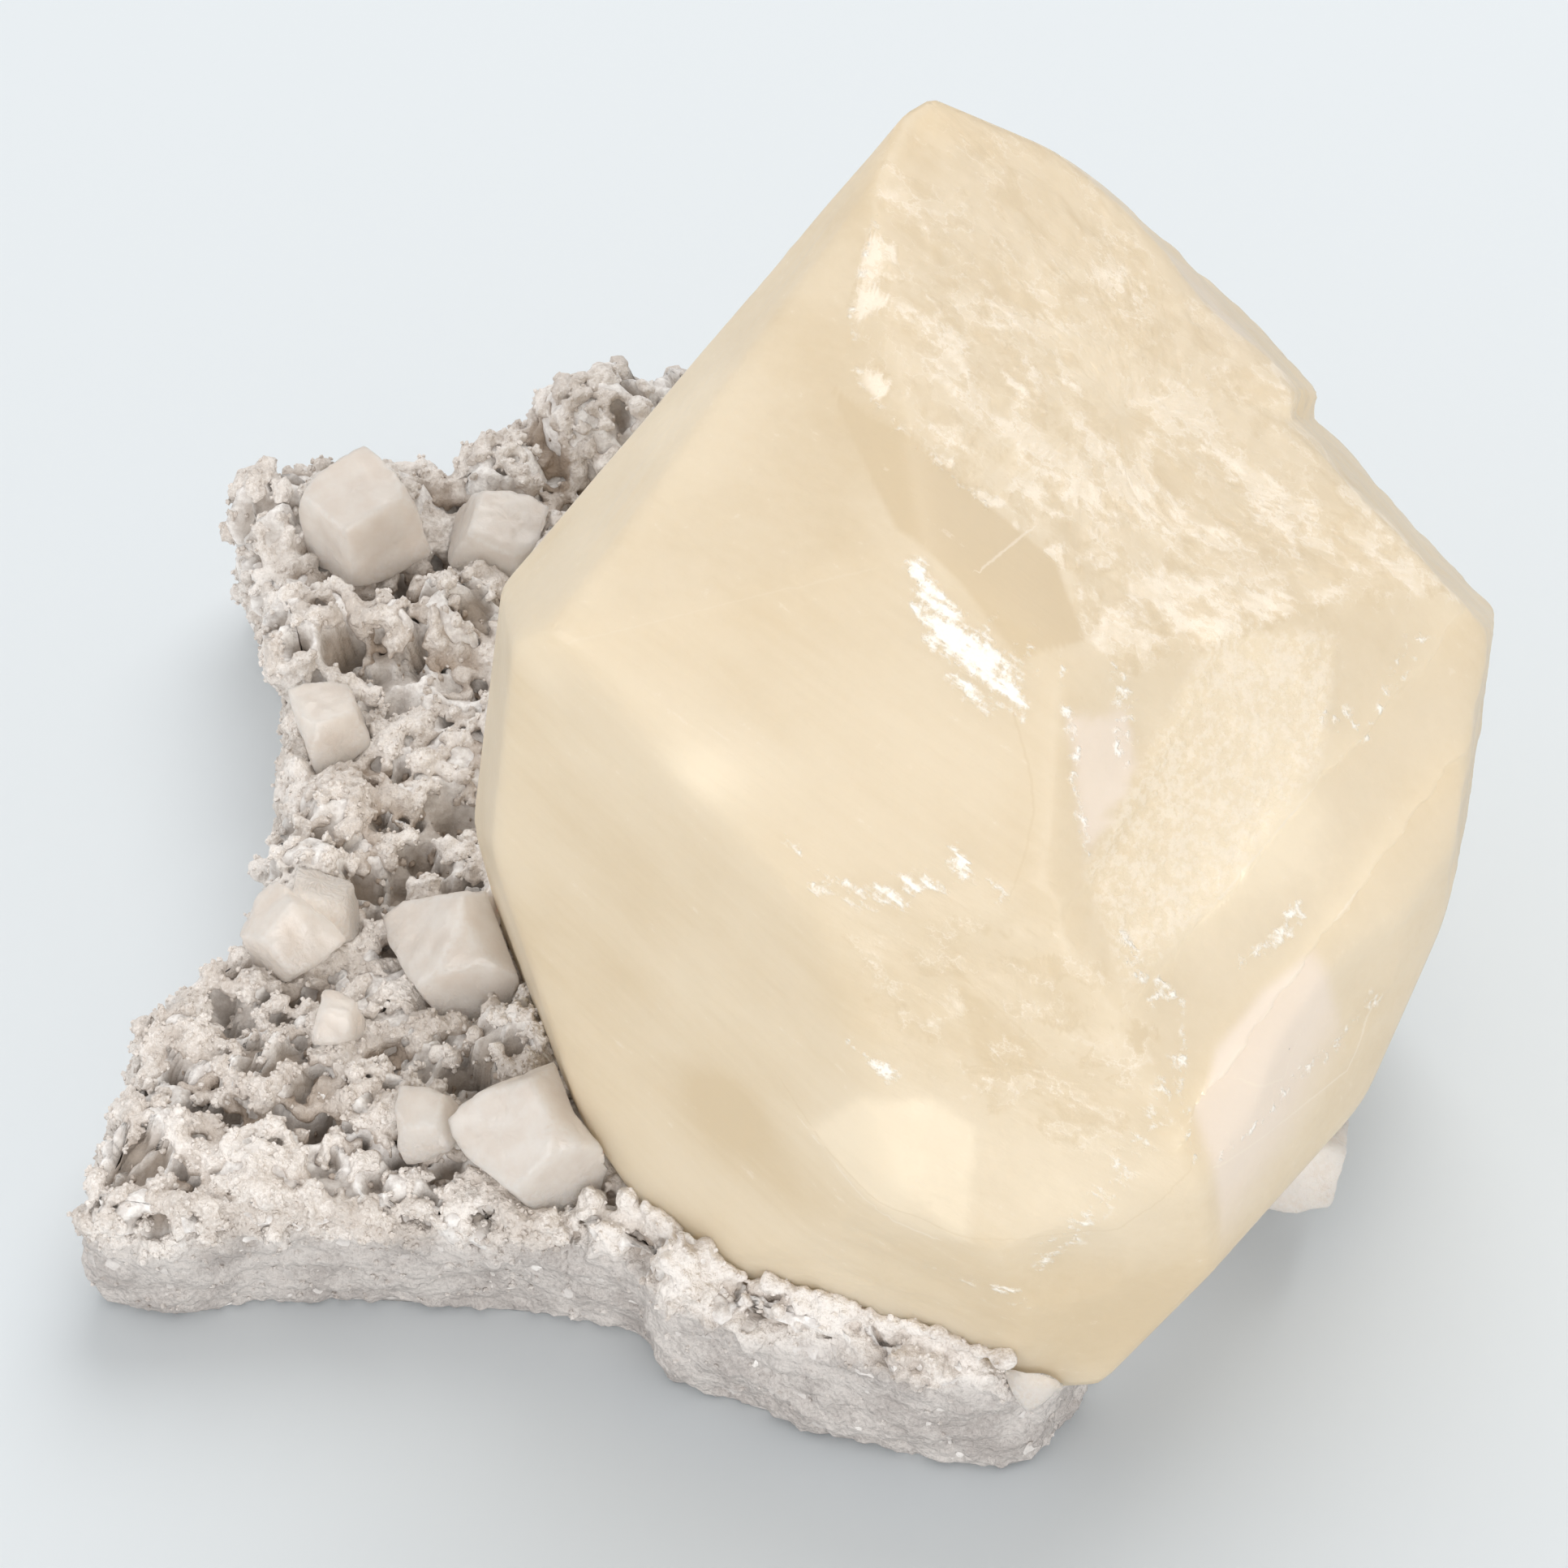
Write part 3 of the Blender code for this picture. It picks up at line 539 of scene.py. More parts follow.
def crust_relief(points):
    """Depth of the etched crust: swirling ridges, thin plates in steps, and a fine grain."""
    swirl = crust_swirl(points)
    ridges = np.minimum(1, 2.6 * np.abs(grain_noise(swirl, 5.5, 34)))
    plates = cloud(drawn_out(swirl, CRUST_FLOW, 1.4), 2.8, 4, 35) * 2.6
    plates = np.floor(plates) + smooth(plates - np.floor(plates), 0.70, 0.98)
    fine = cloud(points, 1.1, 2, 41)
    return 0.05 * ridges + 0.06 * np.clip(plates + 1.5, 0, 4) + 0.07 * (fine + 0.5)


def crust_swirl(points):
    """Points pushed aside by broad noise, so that patterns read there swirl."""
    return points + 2.2 * np.stack([grain_noise(points, 8.0, seed) for seed in (31, 32, 33)], 1)


def calcite_reliefs():
    """Relief of each face that isn't plain, by the face's number."""
    order = list(CALCITE_FACES)
    edge_run = np.cross(face_normal("left_slope"), face_normal("upper_left"))

    def crusted_top(points):
        """The etched crust inside its area, whose border noise makes ragged, and gentle waves outside it."""
        inside = smooth(area_depth(points, CRUST_AREA) + 0.3 * cloud(points, 1.5, 2, 50), -0.3, 0.4)
        return inside * crust_relief(points) + 0.25 * (1 - inside) * (0.5 + 0.3 * cloud(points, 6.0, 2, 51))

    def right_cleavage(points):
        """Broken steps, the chipped corner, the roughness of the sugary panel and faint waves, added up."""
        normal = face_normal("right_cleavage")
        sugar = smooth(area_depth(points, SUGARY_PANEL), -0.2, 0.5)
        rough = 0.2 * np.maximum(0, cloud(points, 1.4, 3, 55)) + 0.1 * cloud(points, 5.0, 2, 58)
        return (step_depth(points, CLEAVAGE_STEPS, normal) + chip_depth(points, PANE_CORNER, normal)
                + sugar * rough + 0.05 * (1 + cloud(points, 3.0, 3, 56)))

    def striated(run, strength, seed):
        """Growth lines: noise drawn out 16 times along the run, strong in patches, on a slow swell."""
        def relief(points):
            lines = cloud(drawn_out(points, run, 16), 1.4, 3, seed)
            patches = smooth(cloud(points, 9.0, 2, seed + 5), -0.5, 0.7)
            return strength * patches * (0.5 + lines) + 0.06 * (1 + grain_noise(points, 12.0, seed + 7))
        return relief

    def side(points):
        """The shell of the recess, and furrows where noise drawn out along the face is above 0."""
        normal = face_normal("recessed_side")
        lip = 0.12 * cloud(drawn_out(points, (0.6, 0.75, 0.1), 3), 3.0, 3, 61)
        return chip_depth(points, SIDE_RECESS, normal) + np.maximum(0, lip)

    def foot(points):
        """The shell of the chip at the foot, and ripples of noise drawn out down the face."""
        ripples = 0.1 * (0.6 + cloud(drawn_out(points, (0.3, -0.2, 0.9), 2), 4.0, 3, 65))
        return chip_depth(points, FOOT_CHIP, face_normal("right_foot")) + ripples

    def etched(points):
        """Pitting: noise of four octaves about an even depth."""
        return 0.16 * (0.7 + cloud(points, 2.6, 4, 70))

    def notched(points):
        """The step of the notch, and waves of two sizes."""
        waves = 0.35 * (0.9 + cloud(points, 6.5, 2, 76)) + 0.12 * (0.8 + cloud(points, 2.0, 3, 75))
        return step_depth(points, BACK_NOTCH, face_normal("back_slope")) + waves

    named = {
        "crusted_top": crusted_top, "right_cleavage": right_cleavage, "recessed_side": side,
        "right_foot": foot, "back_slope": notched,
        "left_slope": striated(edge_run, 0.07, 80), "upper_left": striated(edge_run, 0.04, 90),
        "front_pane": striated(PANE_RUN, 0.05, 100), "left_flank": striated(PANE_RUN, 0.05, 110),
        "back_left": striated((0, 0, 1), 0.10, 120), "lower_front": etched, "front_foot": etched,
        "back": etched, "back_right": etched, "right_edge": etched,
    }
    return {order.index(name): relief for name, relief in named.items()}


def nearness(points, spot, size):
    """1 at a spot, falling off as a bell curve of the given size: exp(-(distance / size) squared)."""
    return np.exp(-np.sum(((points - spot) / size) ** 2, axis=1))


def above_face(points, face):
    """How far each point lies from the calcite's centre along a face's normal."""
    return points @ face_normal(face) - np.array(CALCITE_CENTRE) @ face_normal(face)


def whiteness(base, ragged):
    """White breaks along each mark's path: full to 0.4 of its half width and gone at 1.4, ragged by noise."""
    white = np.zeros(len(base))
    for path, start, end, strength in WHITE_MARKS.values():
        distance, share, _ = path_distance(base, path)
        width = (start + (end - start) * share) * ragged
        white = np.maximum(white, strength * np.clip(1.4 - distance / np.maximum(width, 0.05), 0, 1))
    return white


def hairline_lines(base):
    """For the nearest hairline: signed distance across it, how near it is, and its brightness."""
    across, strength, light = np.full(len(base), 3.0), np.zeros(len(base)), np.zeros(len(base))
    for path, brightness in HAIRLINES.values():
        distance, _, side = path_distance(base, path)
        nearer = distance < np.abs(across)
        across = np.where(nearer, distance * side, across)
        strength = np.where(nearer, np.clip(1 - distance / 0.9, 0, 1), strength)
        light = np.where(nearer, brightness, light)
    return np.stack([across, strength, light], 1)


def glow_inside(base):
    """Light in the stone: broad clouds, the glows (two of them painted light on the upper left slope and the
    right side), and the darker or paler areas.
    """
    glow = 0.28 * cloud(base, 9.0, 3, 140) + 0.28 * cloud(drawn_out(base, PANE_RUN, 4), 4.0, 3, 150)
    for spot, size, amount in GLOWS.values():
        glow += amount * nearness(base, spot, size)
    glow -= 1.1 * smooth(area_depth(base, HONEY_WINDOW), -0.2, 0.3) * smooth(base[:, 2], 47.0, 48.5)
    glow -= 0.45 * smooth(area_depth(base, DARK_TRIANGLE), -0.1, 0.3) * (base[:, 2] < 39)
    glow += 0.9 * smooth(area_depth(base[:, (0, 2)], FRONT_CREAM), -0.3, 0.7) * (base[:, 1] < -28)
    return glow


def crust_cover(base, ragged):
    """The etched crust: flakes, wisps and blobs on the top, most at its edge, and a few on the front."""
    swirl = crust_swirl(base)
    flake = smooth(cloud(drawn_out(swirl, CRUST_FLOW, 1.4), 2.8, 5, 160), -0.08, 0.16)
    wisp = smooth(np.abs(cloud(drawn_out(swirl, CRUST_FLOW, 1.6), 2.2, 4, 170)), 0.14, 0.0)
    border = smooth(path_distance(base, WHITE_MARKS["crust_edge"][0])[0], 3.4, 0.8)
    for spot, size in CRUST_CLEARINGS:
        flake = flake * (1 - 0.8 * nearness(base, spot, size))
    blobs = sum(nearness(base, spot, BLOB_RADIUS) for spot in CRUST_BLOBS)
    crust = smooth(above_face(base, "crusted_top"), 19.6, 20.6)
    crust = crust * smooth(area_depth(base, CRUST_AREA) + 0.5 * ragged, 0.0, 0.9)
    crust = crust * (0.14 + 0.38 * flake + 0.30 * wisp + 0.32 * border * flake + 0.4 * blobs)
    crust = crust * (1 - 0.5 * smooth(base[:, 1], 3.0, 10.0))
    etched = smooth(area_depth(base[:, (0, 2)], FRONT_ETCHED) + 0.8 * ragged, 0.2, 1.8) * (base[:, 1] < -26)
    return np.maximum(crust, etched * (0.36 * flake + 0.22 * wisp))


def pinkness(base, ragged):
    """The pink recess at the foot, the stain on the back edge and the patch beside the sugary panel."""
    pink = (base[:, 2] < 36) * smooth(area_depth(base, PINK_RECESS), -0.3, 0.3)
    pink += 0.7 * nearness(base, *PINK_STAIN)
    return pink + 0.9 * smooth(area_depth(base, PINK_PATCH) + 0.5 * ragged, 0.2, 0.9) * (base[:, 2] > 40)


def make_calcite(material):
    """The big crystal: its block gridded finely where it shows, with its relief, marks and cracks."""
    centre = np.array(CALCITE_CENTRE)
    planes = calcite_planes()
    cells = [CALCITE_CELL if name in FINE_FACES else HIDDEN_FACE_CELL for name in CALCITE_FACES]
    base, faces = gridded_block(centre, planes, cells)
    points = settle(base, centre, planes, calcite_reliefs(), CALCITE_ROUNDING)
    ragged = 1 + 0.6 * cloud(base, 1.3, 3, 130)
    sugar = smooth(above_face(base, "right_cleavage"), 20.4, 21.2)
    sugar = sugar * smooth(area_depth(base, SUGARY_PANEL), -0.3, 0.5)
    marks = {"white": whiteness(base, ragged), "glow": glow_inside(base), "crust": crust_cover(base, ragged),
             "sugar": sugar, "pink": pinkness(base, ragged)}
    calcite = make_piece("yellow_calcite_crystal", points, faces, material, marks,
                         {"hairline": hairline_lines(base)})
    present(calcite, "yellow_calcite")


def rhomb_planes(half, stretch, turn, blunting):
    """A rhomb of six cleavage faces, blunted by three faces around its waist and two caps."""
    spin = np.array(Euler([math.radians(angle) for angle in turn]).to_matrix())
    planes = []
    for third in range(3):
        lean = spin @ direction(120 * third, RHOMB_LEAN)
        planes += [(lean, half), (-lean, half), (spin @ direction(120 * third + 60, 0), half * blunting)]
    for side in (1, -1):
        planes.append((spin @ np.array([0, 0, side]), half * blunting * stretch))
    return planes


def block_slack(points, centre, planes, grow=0.0):
    """How far inside a block each point lies: the least distance to its planes, negative outside."""
    off = points - np.array(centre)
    return np.min([distance + grow - off @ normal for normal, distance in planes], axis=0)


def standing_blocks():
    """Centre and planes of each block that stands in the slab: the calcite's, then the small crystals'."""
    small = [(centre, rhomb_planes(*form)) for blocks in SMALL_CRYSTALS.values() for centre, *form in blocks]
    return [(CALCITE_CENTRE, calcite_planes()), *small]


def make_small_crystals(material):
    """The colourless crystals, each kept a gap away from the calcite and the ones made before it."""
    earlier = [(CALCITE_CENTRE, calcite_planes())]
    for number, (name, blocks) in enumerate(SMALL_CRYSTALS.items()):
        parts = []
        for index, (centre, *form) in enumerate(blocks):
            centre, planes = np.array(centre), rhomb_planes(*form)
            base, faces = gridded_block(centre, planes, [CRYSTAL_CELL] * len(planes))

            def uneven(points, seed=200 + 10 * number + index):
                """Noise of four octaves about an even depth, another for each block."""
                return 0.10 * (0.8 + cloud(points, 1.3, 4, seed))

            points = settle(base, centre, planes, {i: uneven for i in range(len(planes))}, CRYSTAL_ROUNDING)
            for other, other_planes in earlier:
                points = push_out(points, other, other_planes)
            buried = SUGAR_LINE + cloud(points, 1.5, 3, 250) - points[:, 2]
            # rim: nearness to the edges, which the finish lightens as frost and painted highlight
            marks = {"sugar": smooth(buried, -0.8, 1.2), "rim": edge_nearness(base, centre, planes)}
            title = f"{name}_{index}" if index else name + "_finished"
            parts.append(make_piece(title, points, faces, material, marks))
        for twin in parts[1:]:
            unite(parts[0], twin)
        present(parts[0], name)
        earlier += [(centre, rhomb_planes(*form)) for centre, *form in blocks]


def edge_nearness(points, centre, planes):
    """1 at a block's edges and 0 further in: how close the second nearest plane is to the nearest."""
    gaps = np.sort([distance - (points - np.array(centre)) @ normal for normal, distance in planes], axis=0)
    return smooth(gaps[1] - gaps[0], 0.45, 0.05)


def push_out(points, centre, planes):
    """Points inside another crystal's grown block are moved out to its nearest plane."""
    slack = np.array([distance + GAP - (points - np.array(centre)) @ normal for normal, distance in planes])
    nearest = slack.argmin(0)
    depth = slack.min(0)
    normals = np.array([normal for normal, _ in planes])
    return points + np.where(depth > 0, depth, 0)[:, None] * normals[nearest]


def unite(crystal, twin):
    """Join two crystals grown together into one skin."""
    joint = crystal.modifiers.new("grown_together", "BOOLEAN")
    joint.operation = "UNION"
    joint.solver = "EXACT"
    joint.object = twin
    view = bpy.context.evaluated_depsgraph_get()
    joined = bpy.data.meshes.new_from_object(crystal.evaluated_get(view))
    crystal.modifiers.clear()
    crystal.data = joined
    bpy.data.objects.remove(twin)


# The slab and its druse

def slab_rim(count):
    """Evenly spaced points on the outline of the slab: cubic arcs from corner to corner, whose slope at a
    corner is half the way from the corner before it to the corner after."""
    corners = np.array(SLAB_OUTLINE)
    before, after, beyond = np.roll(corners, 1, 0), np.roll(corners, -1, 0), np.roll(corners, -2, 0)
    t = np.linspace(0, 1, 24, endpoint=False)[None, :, None]
    b, c, a, e = before[:, None], corners[:, None], after[:, None], beyond[:, None]
    curve = 0.5 * (2 * c + (a - b) * t + (2 * b - 5 * c + 4 * a - e) * t ** 2
                   + (3 * c - b - 3 * a + e) * t ** 3)
    curve = curve.reshape(-1, 2)
    closed = np.vstack([curve, curve[:1]])
    walked = np.concatenate([[0], np.cumsum(np.linalg.norm(np.diff(closed, axis=0), axis=1))])
    even = np.linspace(0, walked[-1], count, endpoint=False)
    return np.stack([np.interp(even, walked, closed[:, axis]) for axis in (0, 1)], 1)


def slab_profile():
    """The slab from its top's middle over the rim, down the wall and under: share of the way out,
    inset, height, and lean of the skin from upright (0) to sideways (1) to down (2)."""
    out = np.concatenate([np.linspace(0.04, 0.40, 10), np.linspace(0.42, 0.955, 62)])
    top = [(t, 0.0, SLAB_TOP, 0.0) for t in out]
    bend = [(1.0, 1.5 - 1.4 * math.sin(a), SLAB_TOP - 1.4 * (1 - math.cos(a)), a / (math.pi / 2))
            for a in np.linspace(0.1, math.pi / 2, 7)]
    wall = [(1.0, 0.1 + 0.5 * (1 - z / 8.6) ** 2, z, 1.0) for z in np.linspace(8.3, 0.7, 25)]
    under = [(1.0, 0.75, 0.3, 1.5), (1.0, 1.1, 0.0, 2.0)]
    floor = [(t, 1.1, 0.0, 2.0) for t in (0.93, 0.85, 0.75, 0.6, 0.4, 0.2)]
    return np.array(top + bend + wall + under + floor)


def ray_through(base, outward, ball):
    """Where rays from the base enter and leave a flattened ball, as heights along the ray."""
    x, y, z, radius = ball
    squeeze = np.array([1, 1, 1 / BALL_FLATTENING])
    off, run = (base - (x, y, z)) * squeeze, outward * squeeze
    speed = np.sum(run ** 2, axis=1)
    middle = -np.sum(off * run, axis=1) / speed
    spread = middle ** 2 - (np.sum(off ** 2, axis=1) - radius ** 2) / speed
    half = np.sqrt(np.maximum(spread, 0))
    return spread > 0, middle - half, middle + half


def hidden_spots(count, heights, radii, seed):
    """Seeded lumps or pits for the stretch of slab behind and beside the calcite."""
    dice = np.random.default_rng(seed)
    spots = []
    while len(spots) < count:
        x, y = dice.uniform(-12, 27), dice.uniform(-20, 36)
        if (x + 0.75 * y < 33 and y > 14 + 0.15 * x) or (x > 22 and abs(y) < 14):
            spots.append((x, y, dice.uniform(*heights), dice.uniform(*radii)))
    return spots


def make_matrix(material):
    """The slab's skin: rings of the outline, moved out to the lumps, into the pits, and roughened."""
    rim = slab_rim(RIM_POINTS)
    profile = slab_profile()
    count, rings = len(rim), len(profile)
    tangent = np.roll(rim, -1, 0) - np.roll(rim, 1, 0)
    tangent /= np.linalg.norm(tangent, axis=1, keepdims=True)
    outside = np.stack([tangent[:, 1], -tangent[:, 0]], 1)
    share, inset, height, lean = (profile[:, i][:, None] for i in range(4))
    hub = np.array(SLAB_HUB)
    plan = hub + share[..., None] * (rim - inset[..., None] * outside - hub)
    base = np.concatenate([plan, np.broadcast_to(height[..., None], (rings, count, 1))], 2).reshape(-1, 3)
    angle = np.broadcast_to(lean * math.pi / 2, (rings, count)).reshape(-1)
    side = np.broadcast_to(outside, (rings, count, 2)).reshape(-1, 2)
    outward = np.concatenate([side * np.sin(angle)[:, None], np.cos(angle)[:, None]], 1)

    rise = 0.45 * cloud(base, 4.5, 3, 300) - 0.1
    for lump in (*LUMPS, *hidden_spots(*HIDDEN_LUMPS)):
        hit, _, far = ray_through(base, outward, lump)
        rise = np.where(hit & (far > rise), far, rise)
    # how deep a point lies in a pit, which the finish paints as shade
    hollow_shade = np.zeros(len(base))
    for pit in (*PITS, *hidden_spots(*HIDDEN_PITS)):
        hit, near, far = ray_through(base, outward, pit)
        inside = hit & (near < rise) & (far > rise)
        hollow_shade = np.maximum(hollow_shade, np.where(inside, np.clip((rise - near) / 2.0, 0, 1), 0))
        rise = np.where(inside, near, rise)

    front = broken_front(base)
    upper = smooth(base[:, 2], 5.0, 8.5) * (1 - 0.8 * front)
    sponge = smooth(cell_distance(base + 0.7 * cloud(base, 2.0, 2, 310)[:, None], 1.9, 311), 0.62, 0.36)
    sponge *= smooth(cloud(base, 7.0, 2, 312), -0.65, 0.2)
    rise -= upper * 1.5 * sponge
    hollow_shade = np.maximum(hollow_shade, upper * sponge)
    knobs = 0.5 - cell_distance(base, 1.0, 320)
    rise += (0.15 + 0.5 * upper) * knobs * 0.8 + 0.16 * cloud(base, 0.8, 2, 322)
    layers = drawn_out(base, (1, 0, 0), 6)
    rise += 0.30 * front * cloud(layers, 1.5, 3, 330)
    hollow_shade *= 1 - front
    flat = smooth(lean.repeat(count, 0).reshape(-1), 1.2, 1.9)
    rise = np.where(base[:, 2] <= 0.001, 0.0, rise * (1 - flat))
    points = base + outward * rise[:, None]
    points[:, 2] = np.maximum(points[:, 2], 0.0)
    points = carve_sockets(points)

    ends = np.array([[*SLAB_HUB, 7.7], [*SLAB_HUB, 0.0]])
    around = np.arange(count)
    ahead = (around + 1) % count
    last = (rings - 1) * count
    top = np.full(count, len(points))
    faces = np.vstack([ring_faces(rings, count), np.stack([top, around, ahead], 1),
                       np.stack([top + 1, last + ahead, last + around], 1)])
    points = np.vstack([points, ends])
    marks = {"hollow_shade": np.append(hollow_shade, (0, 0)), "front": np.append(front, (0, 0))}
    matrix = make_piece("matrix_slab", points, faces, material, marks)
    present(matrix, "matrix")
    return points, faces, marks


def broken_front(points):
    """1 on the broken front face, below the druse, and 0 elsewhere."""
    x, y, z = points[:, 0], points[:, 1], points[:, 2]
    edge = 8.4 + 0.9 * grain_noise(points * (1, 1, 0), 7.0, 340) + 0.05 * np.minimum(x, 0)
    facing = smooth(-22.5 - 0.30 * np.maximum(x + 10, 0) - y, 0.0, 2.0)
    return smooth(edge - z + 0.5 * cloud(points, 1.2, 2, 341), -1.6, 1.2) * facing


def carve_sockets(points):
    """Where the skin would run inside a crystal's socket, it drops to the socket's floor."""
    for centre, planes in standing_blocks():
        inside = block_slack(points, centre, planes, GAP) > 0
        off = points[inside] - np.array(centre)
        floors = [((distance + GAP) - off[:, 0] * normal[0] - off[:, 1] * normal[1]) / normal[2]
                  for normal, distance in planes if normal[2] < -0.05]
        points[inside, 2] = np.maximum(np.max(floors, axis=0) + centre[2], 0.6)
    return points


def ball_template():
    """A low ball: twelve corners and twenty sides."""
    golden = (1 + 5 ** 0.5) / 2
    signs = list(itertools.product((1, -1), repeat=2))
    corners = np.array([np.roll((a, b * golden, 0), shift) for shift in range(3) for a, b in signs])
    corners = corners / np.linalg.norm(corners[0])
    near = np.linalg.norm(corners[:, None] - corners, axis=2)
    edge = np.sort(near[0])[1] * 1.01
    sides = [trio for trio in itertools.combinations(range(12), 3)
             if all(near[i, j] < edge for i, j in itertools.combinations(trio, 2))]
    sides = [trio if np.linalg.det(corners[list(trio)]) > 0 else trio[::-1] for trio in sides]
    return corners, np.array(sides)


def ball_cluster(centres, radii, rough, seed):
    """Many small balls as one mesh: at each centre a low ball, dented, stretched and turned at random."""
    dice = np.random.default_rng(seed)
    corners, sides = ball_template()
    turns = dice.normal(size=(len(centres), 4))
    w, x, y, z = (turns / np.linalg.norm(turns, axis=1, keepdims=True)).T
    spin = np.stack([1 - 2 * (y * y + z * z), 2 * (x * y - z * w), 2 * (x * z + y * w),
                     2 * (x * y + z * w), 1 - 2 * (x * x + z * z), 2 * (y * z - x * w),
                     2 * (x * z - y * w), 2 * (y * z + x * w), 1 - 2 * (x * x + y * y)], 1).reshape(-1, 3, 3)
    dent = 1 + rough * dice.uniform(-1, 1, (len(centres), len(corners), 1))
    stretch = dice.uniform(0.75, 1.25, (len(centres), 1, 3))
    shape = (corners * stretch * dent) @ spin.transpose(0, 2, 1)
    points = centres[:, None] + shape * radii[:, None, None]
    faces = sides + np.arange(len(centres))[:, None, None] * len(corners)
    return points.reshape(-1, 3), faces.reshape(-1, 3)


def melt(points, faces, cell):
    """Points and faces of one closed skin round all that a heap of balls fills: a voxel remesh."""
    heap = make_piece("heap", points, faces, None)
    skin = heap.modifiers.new("melt", "REMESH")
    skin.mode = "VOXEL"
    skin.voxel_size = cell * MM
    view = bpy.context.evaluated_depsgraph_get()
    mesh = bpy.data.meshes.new_from_object(heap.evaluated_get(view))
    mesh.calc_loop_triangles()
    spots = np.empty(len(mesh.vertices) * 3, np.float32)
    sides = np.empty(len(mesh.loop_triangles) * 3, np.int32)
    mesh.vertices.foreach_get("co", spots)
    mesh.loop_triangles.foreach_get("vertices", sides)
    bpy.data.objects.remove(heap)
    bpy.data.meshes.remove(mesh)
    return spots.reshape(-1, 3) / MM - SHIFT, sides.reshape(-1, 3)


def depth_below_tops(points, cell=1.3):
    """How far each point lies under its surroundings: the highest point of each cell in plan,
    averaged over three by three cells, less the point's own height. 0 beyond the slab's rim."""
    spot = np.floor((points[:, :2] + 60) / cell).astype(int)
    tops = np.zeros((round(120 / cell), round(120 / cell)))
    np.maximum.at(tops, (spot[:, 0], spot[:, 1]), points[:, 2])
    around = sum(np.roll(tops, (i, j), (0, 1)) for i in (-1, 0, 1) for j in (-1, 0, 1)) / 9
    within = smooth(area_depth(points, list(SLAB_OUTLINE)), 0.4, 2.0)
    return (around[spot[:, 0], spot[:, 1]] - points[:, 2]) * within


def along_seam(dice):
    """Grains where the druse laps the calcite: a level ray at angle a reaches the crystal's skin at the least
    (distance - rise * normal z) / (normal . ray) over its planes. Kept where the slab lies below."""
    count, least, most = SEAM_GRAINS
    angle = dice.uniform(0, 2 * math.pi, count)
    ray = np.stack([np.cos(angle), np.sin(angle), np.zeros(count)], 1)
    height = dice.uniform(8.4, 11.3, count)
    reach = np.full(count, 99.0)
    for normal, distance in calcite_planes():
        facing = ray @ normal
        crossed = (distance - (height - CALCITE_CENTRE[2]) * normal[2]) / np.where(facing > 0.05, facing, 1.0)
        reach = np.where(facing > 0.05, np.minimum(reach, crossed), reach)
    size = dice.uniform(least, most, count)
    spots = np.array(CALCITE_CENTRE) + ray * (reach + 0.5 * size)[:, None]
    spots[:, 2] = height
    kept = area_depth(spots, list(SLAB_OUTLINE)) > -0.4
    return spots[kept], size[kept]


def place_grains(points, faces, marks, dice):
    """Centres and radii of the druse's grains: knobs over the slab, crumbs over them, low grains between,
    bumps on the broken front, and grains along the calcite's foot. The pits stay open."""
    a, b, c = (points[faces[:, i]] for i in range(3))
    cross = np.cross(b - a, c - a)
    area = np.linalg.norm(cross, axis=1) / 2
    normal = cross / np.maximum(area[:, None] * 2, 1e-9)
    middle = (a + b + c) / 3
    front = marks["front"][faces].mean(1)
    hollow_shade = marks["hollow_shade"][faces].mean(1)
    calcite, *small = standing_blocks()
    skin = area * (middle[:, 2] > 0.3) * ~(block_slack(middle, *calcite, 0.2) > 0)
    foot = sum(block_slack(middle, *block, 1.0) > 0 for block in small)
    open_skin = skin * (1 - front) * smooth(middle[:, 2], 0.2, 5.0) * (1 + 1.5 * foot)

    def sample(count, weight):
        """Random spots on faces picked by weight, and the faces' normals. A spot is corner + u side + v side,
        with u and v folded back where their sum is over 1."""
        picked = dice.choice(len(faces), count, p=weight / weight.sum())
        u, v = dice.random((2, count))
        u, v = np.where(u + v > 1, 1 - u, u), np.where(u + v > 1, 1 - v, v)
        spot = a[picked] + u[:, None] * (b - a)[picked] + v[:, None] * (c - a)[picked]
        return spot, normal[picked]

    count, least, most = KNOBS
    crowded = smooth(cloud(middle, 3.0, 2, 400), -0.5, 0.4)
    raised = open_skin * (1 - hollow_shade) ** 3 * (0.25 + crowded) * smooth(middle[:, 2], 3.0, 7.5)
    knob, knob_up = sample(count, raised)
    knob_size = dice.uniform(least, most, count) * (1 + 0.5 * (dice.random(count) < 0.12))
    knob = knob + knob_up * (knob_size * dice.uniform(-0.3, 0.8, count))[:, None]

    count, least, most = CRUMBS
    host = dice.integers(0, len(knob), count)
    way = dice.normal(size=(count, 3)) + knob_up[host] * 0.6
    way /= np.linalg.norm(way, axis=1, keepdims=True)
    crumb = knob[host] + way * (knob_size[host] * dice.uniform(0.8, 1.1, count))[:, None]
    crumb_size = dice.uniform(least, most, count)

    count, least, most = LOW_GRAINS
    low, low_up = sample(count, open_skin * (1 - 0.8 * hollow_shade))
    low_size = dice.uniform(least, most, count)
    low = low + low_up * (low_size * 0.2)[:, None]

    count, least, most = FRONT_BUMPS
    bump, bump_up = sample(count, skin * front)
    bump_size = dice.uniform(least, most, count)
    bump = bump - bump_up * (bump_size * dice.uniform(0.30, 0.62, count))[:, None]

    lap, lap_size = along_seam(dice)
    centres = np.vstack([knob, crumb, low, bump, lap])
    sizes = np.concatenate([knob_size, crumb_size, low_size, bump_size, lap_size])
    free = centres[:, 2] - sizes > 0.05
    for centre, planes in (calcite, *small):
        free &= block_slack(centres, centre, planes) < -0.2 * sizes
    return centres[free], sizes[free]


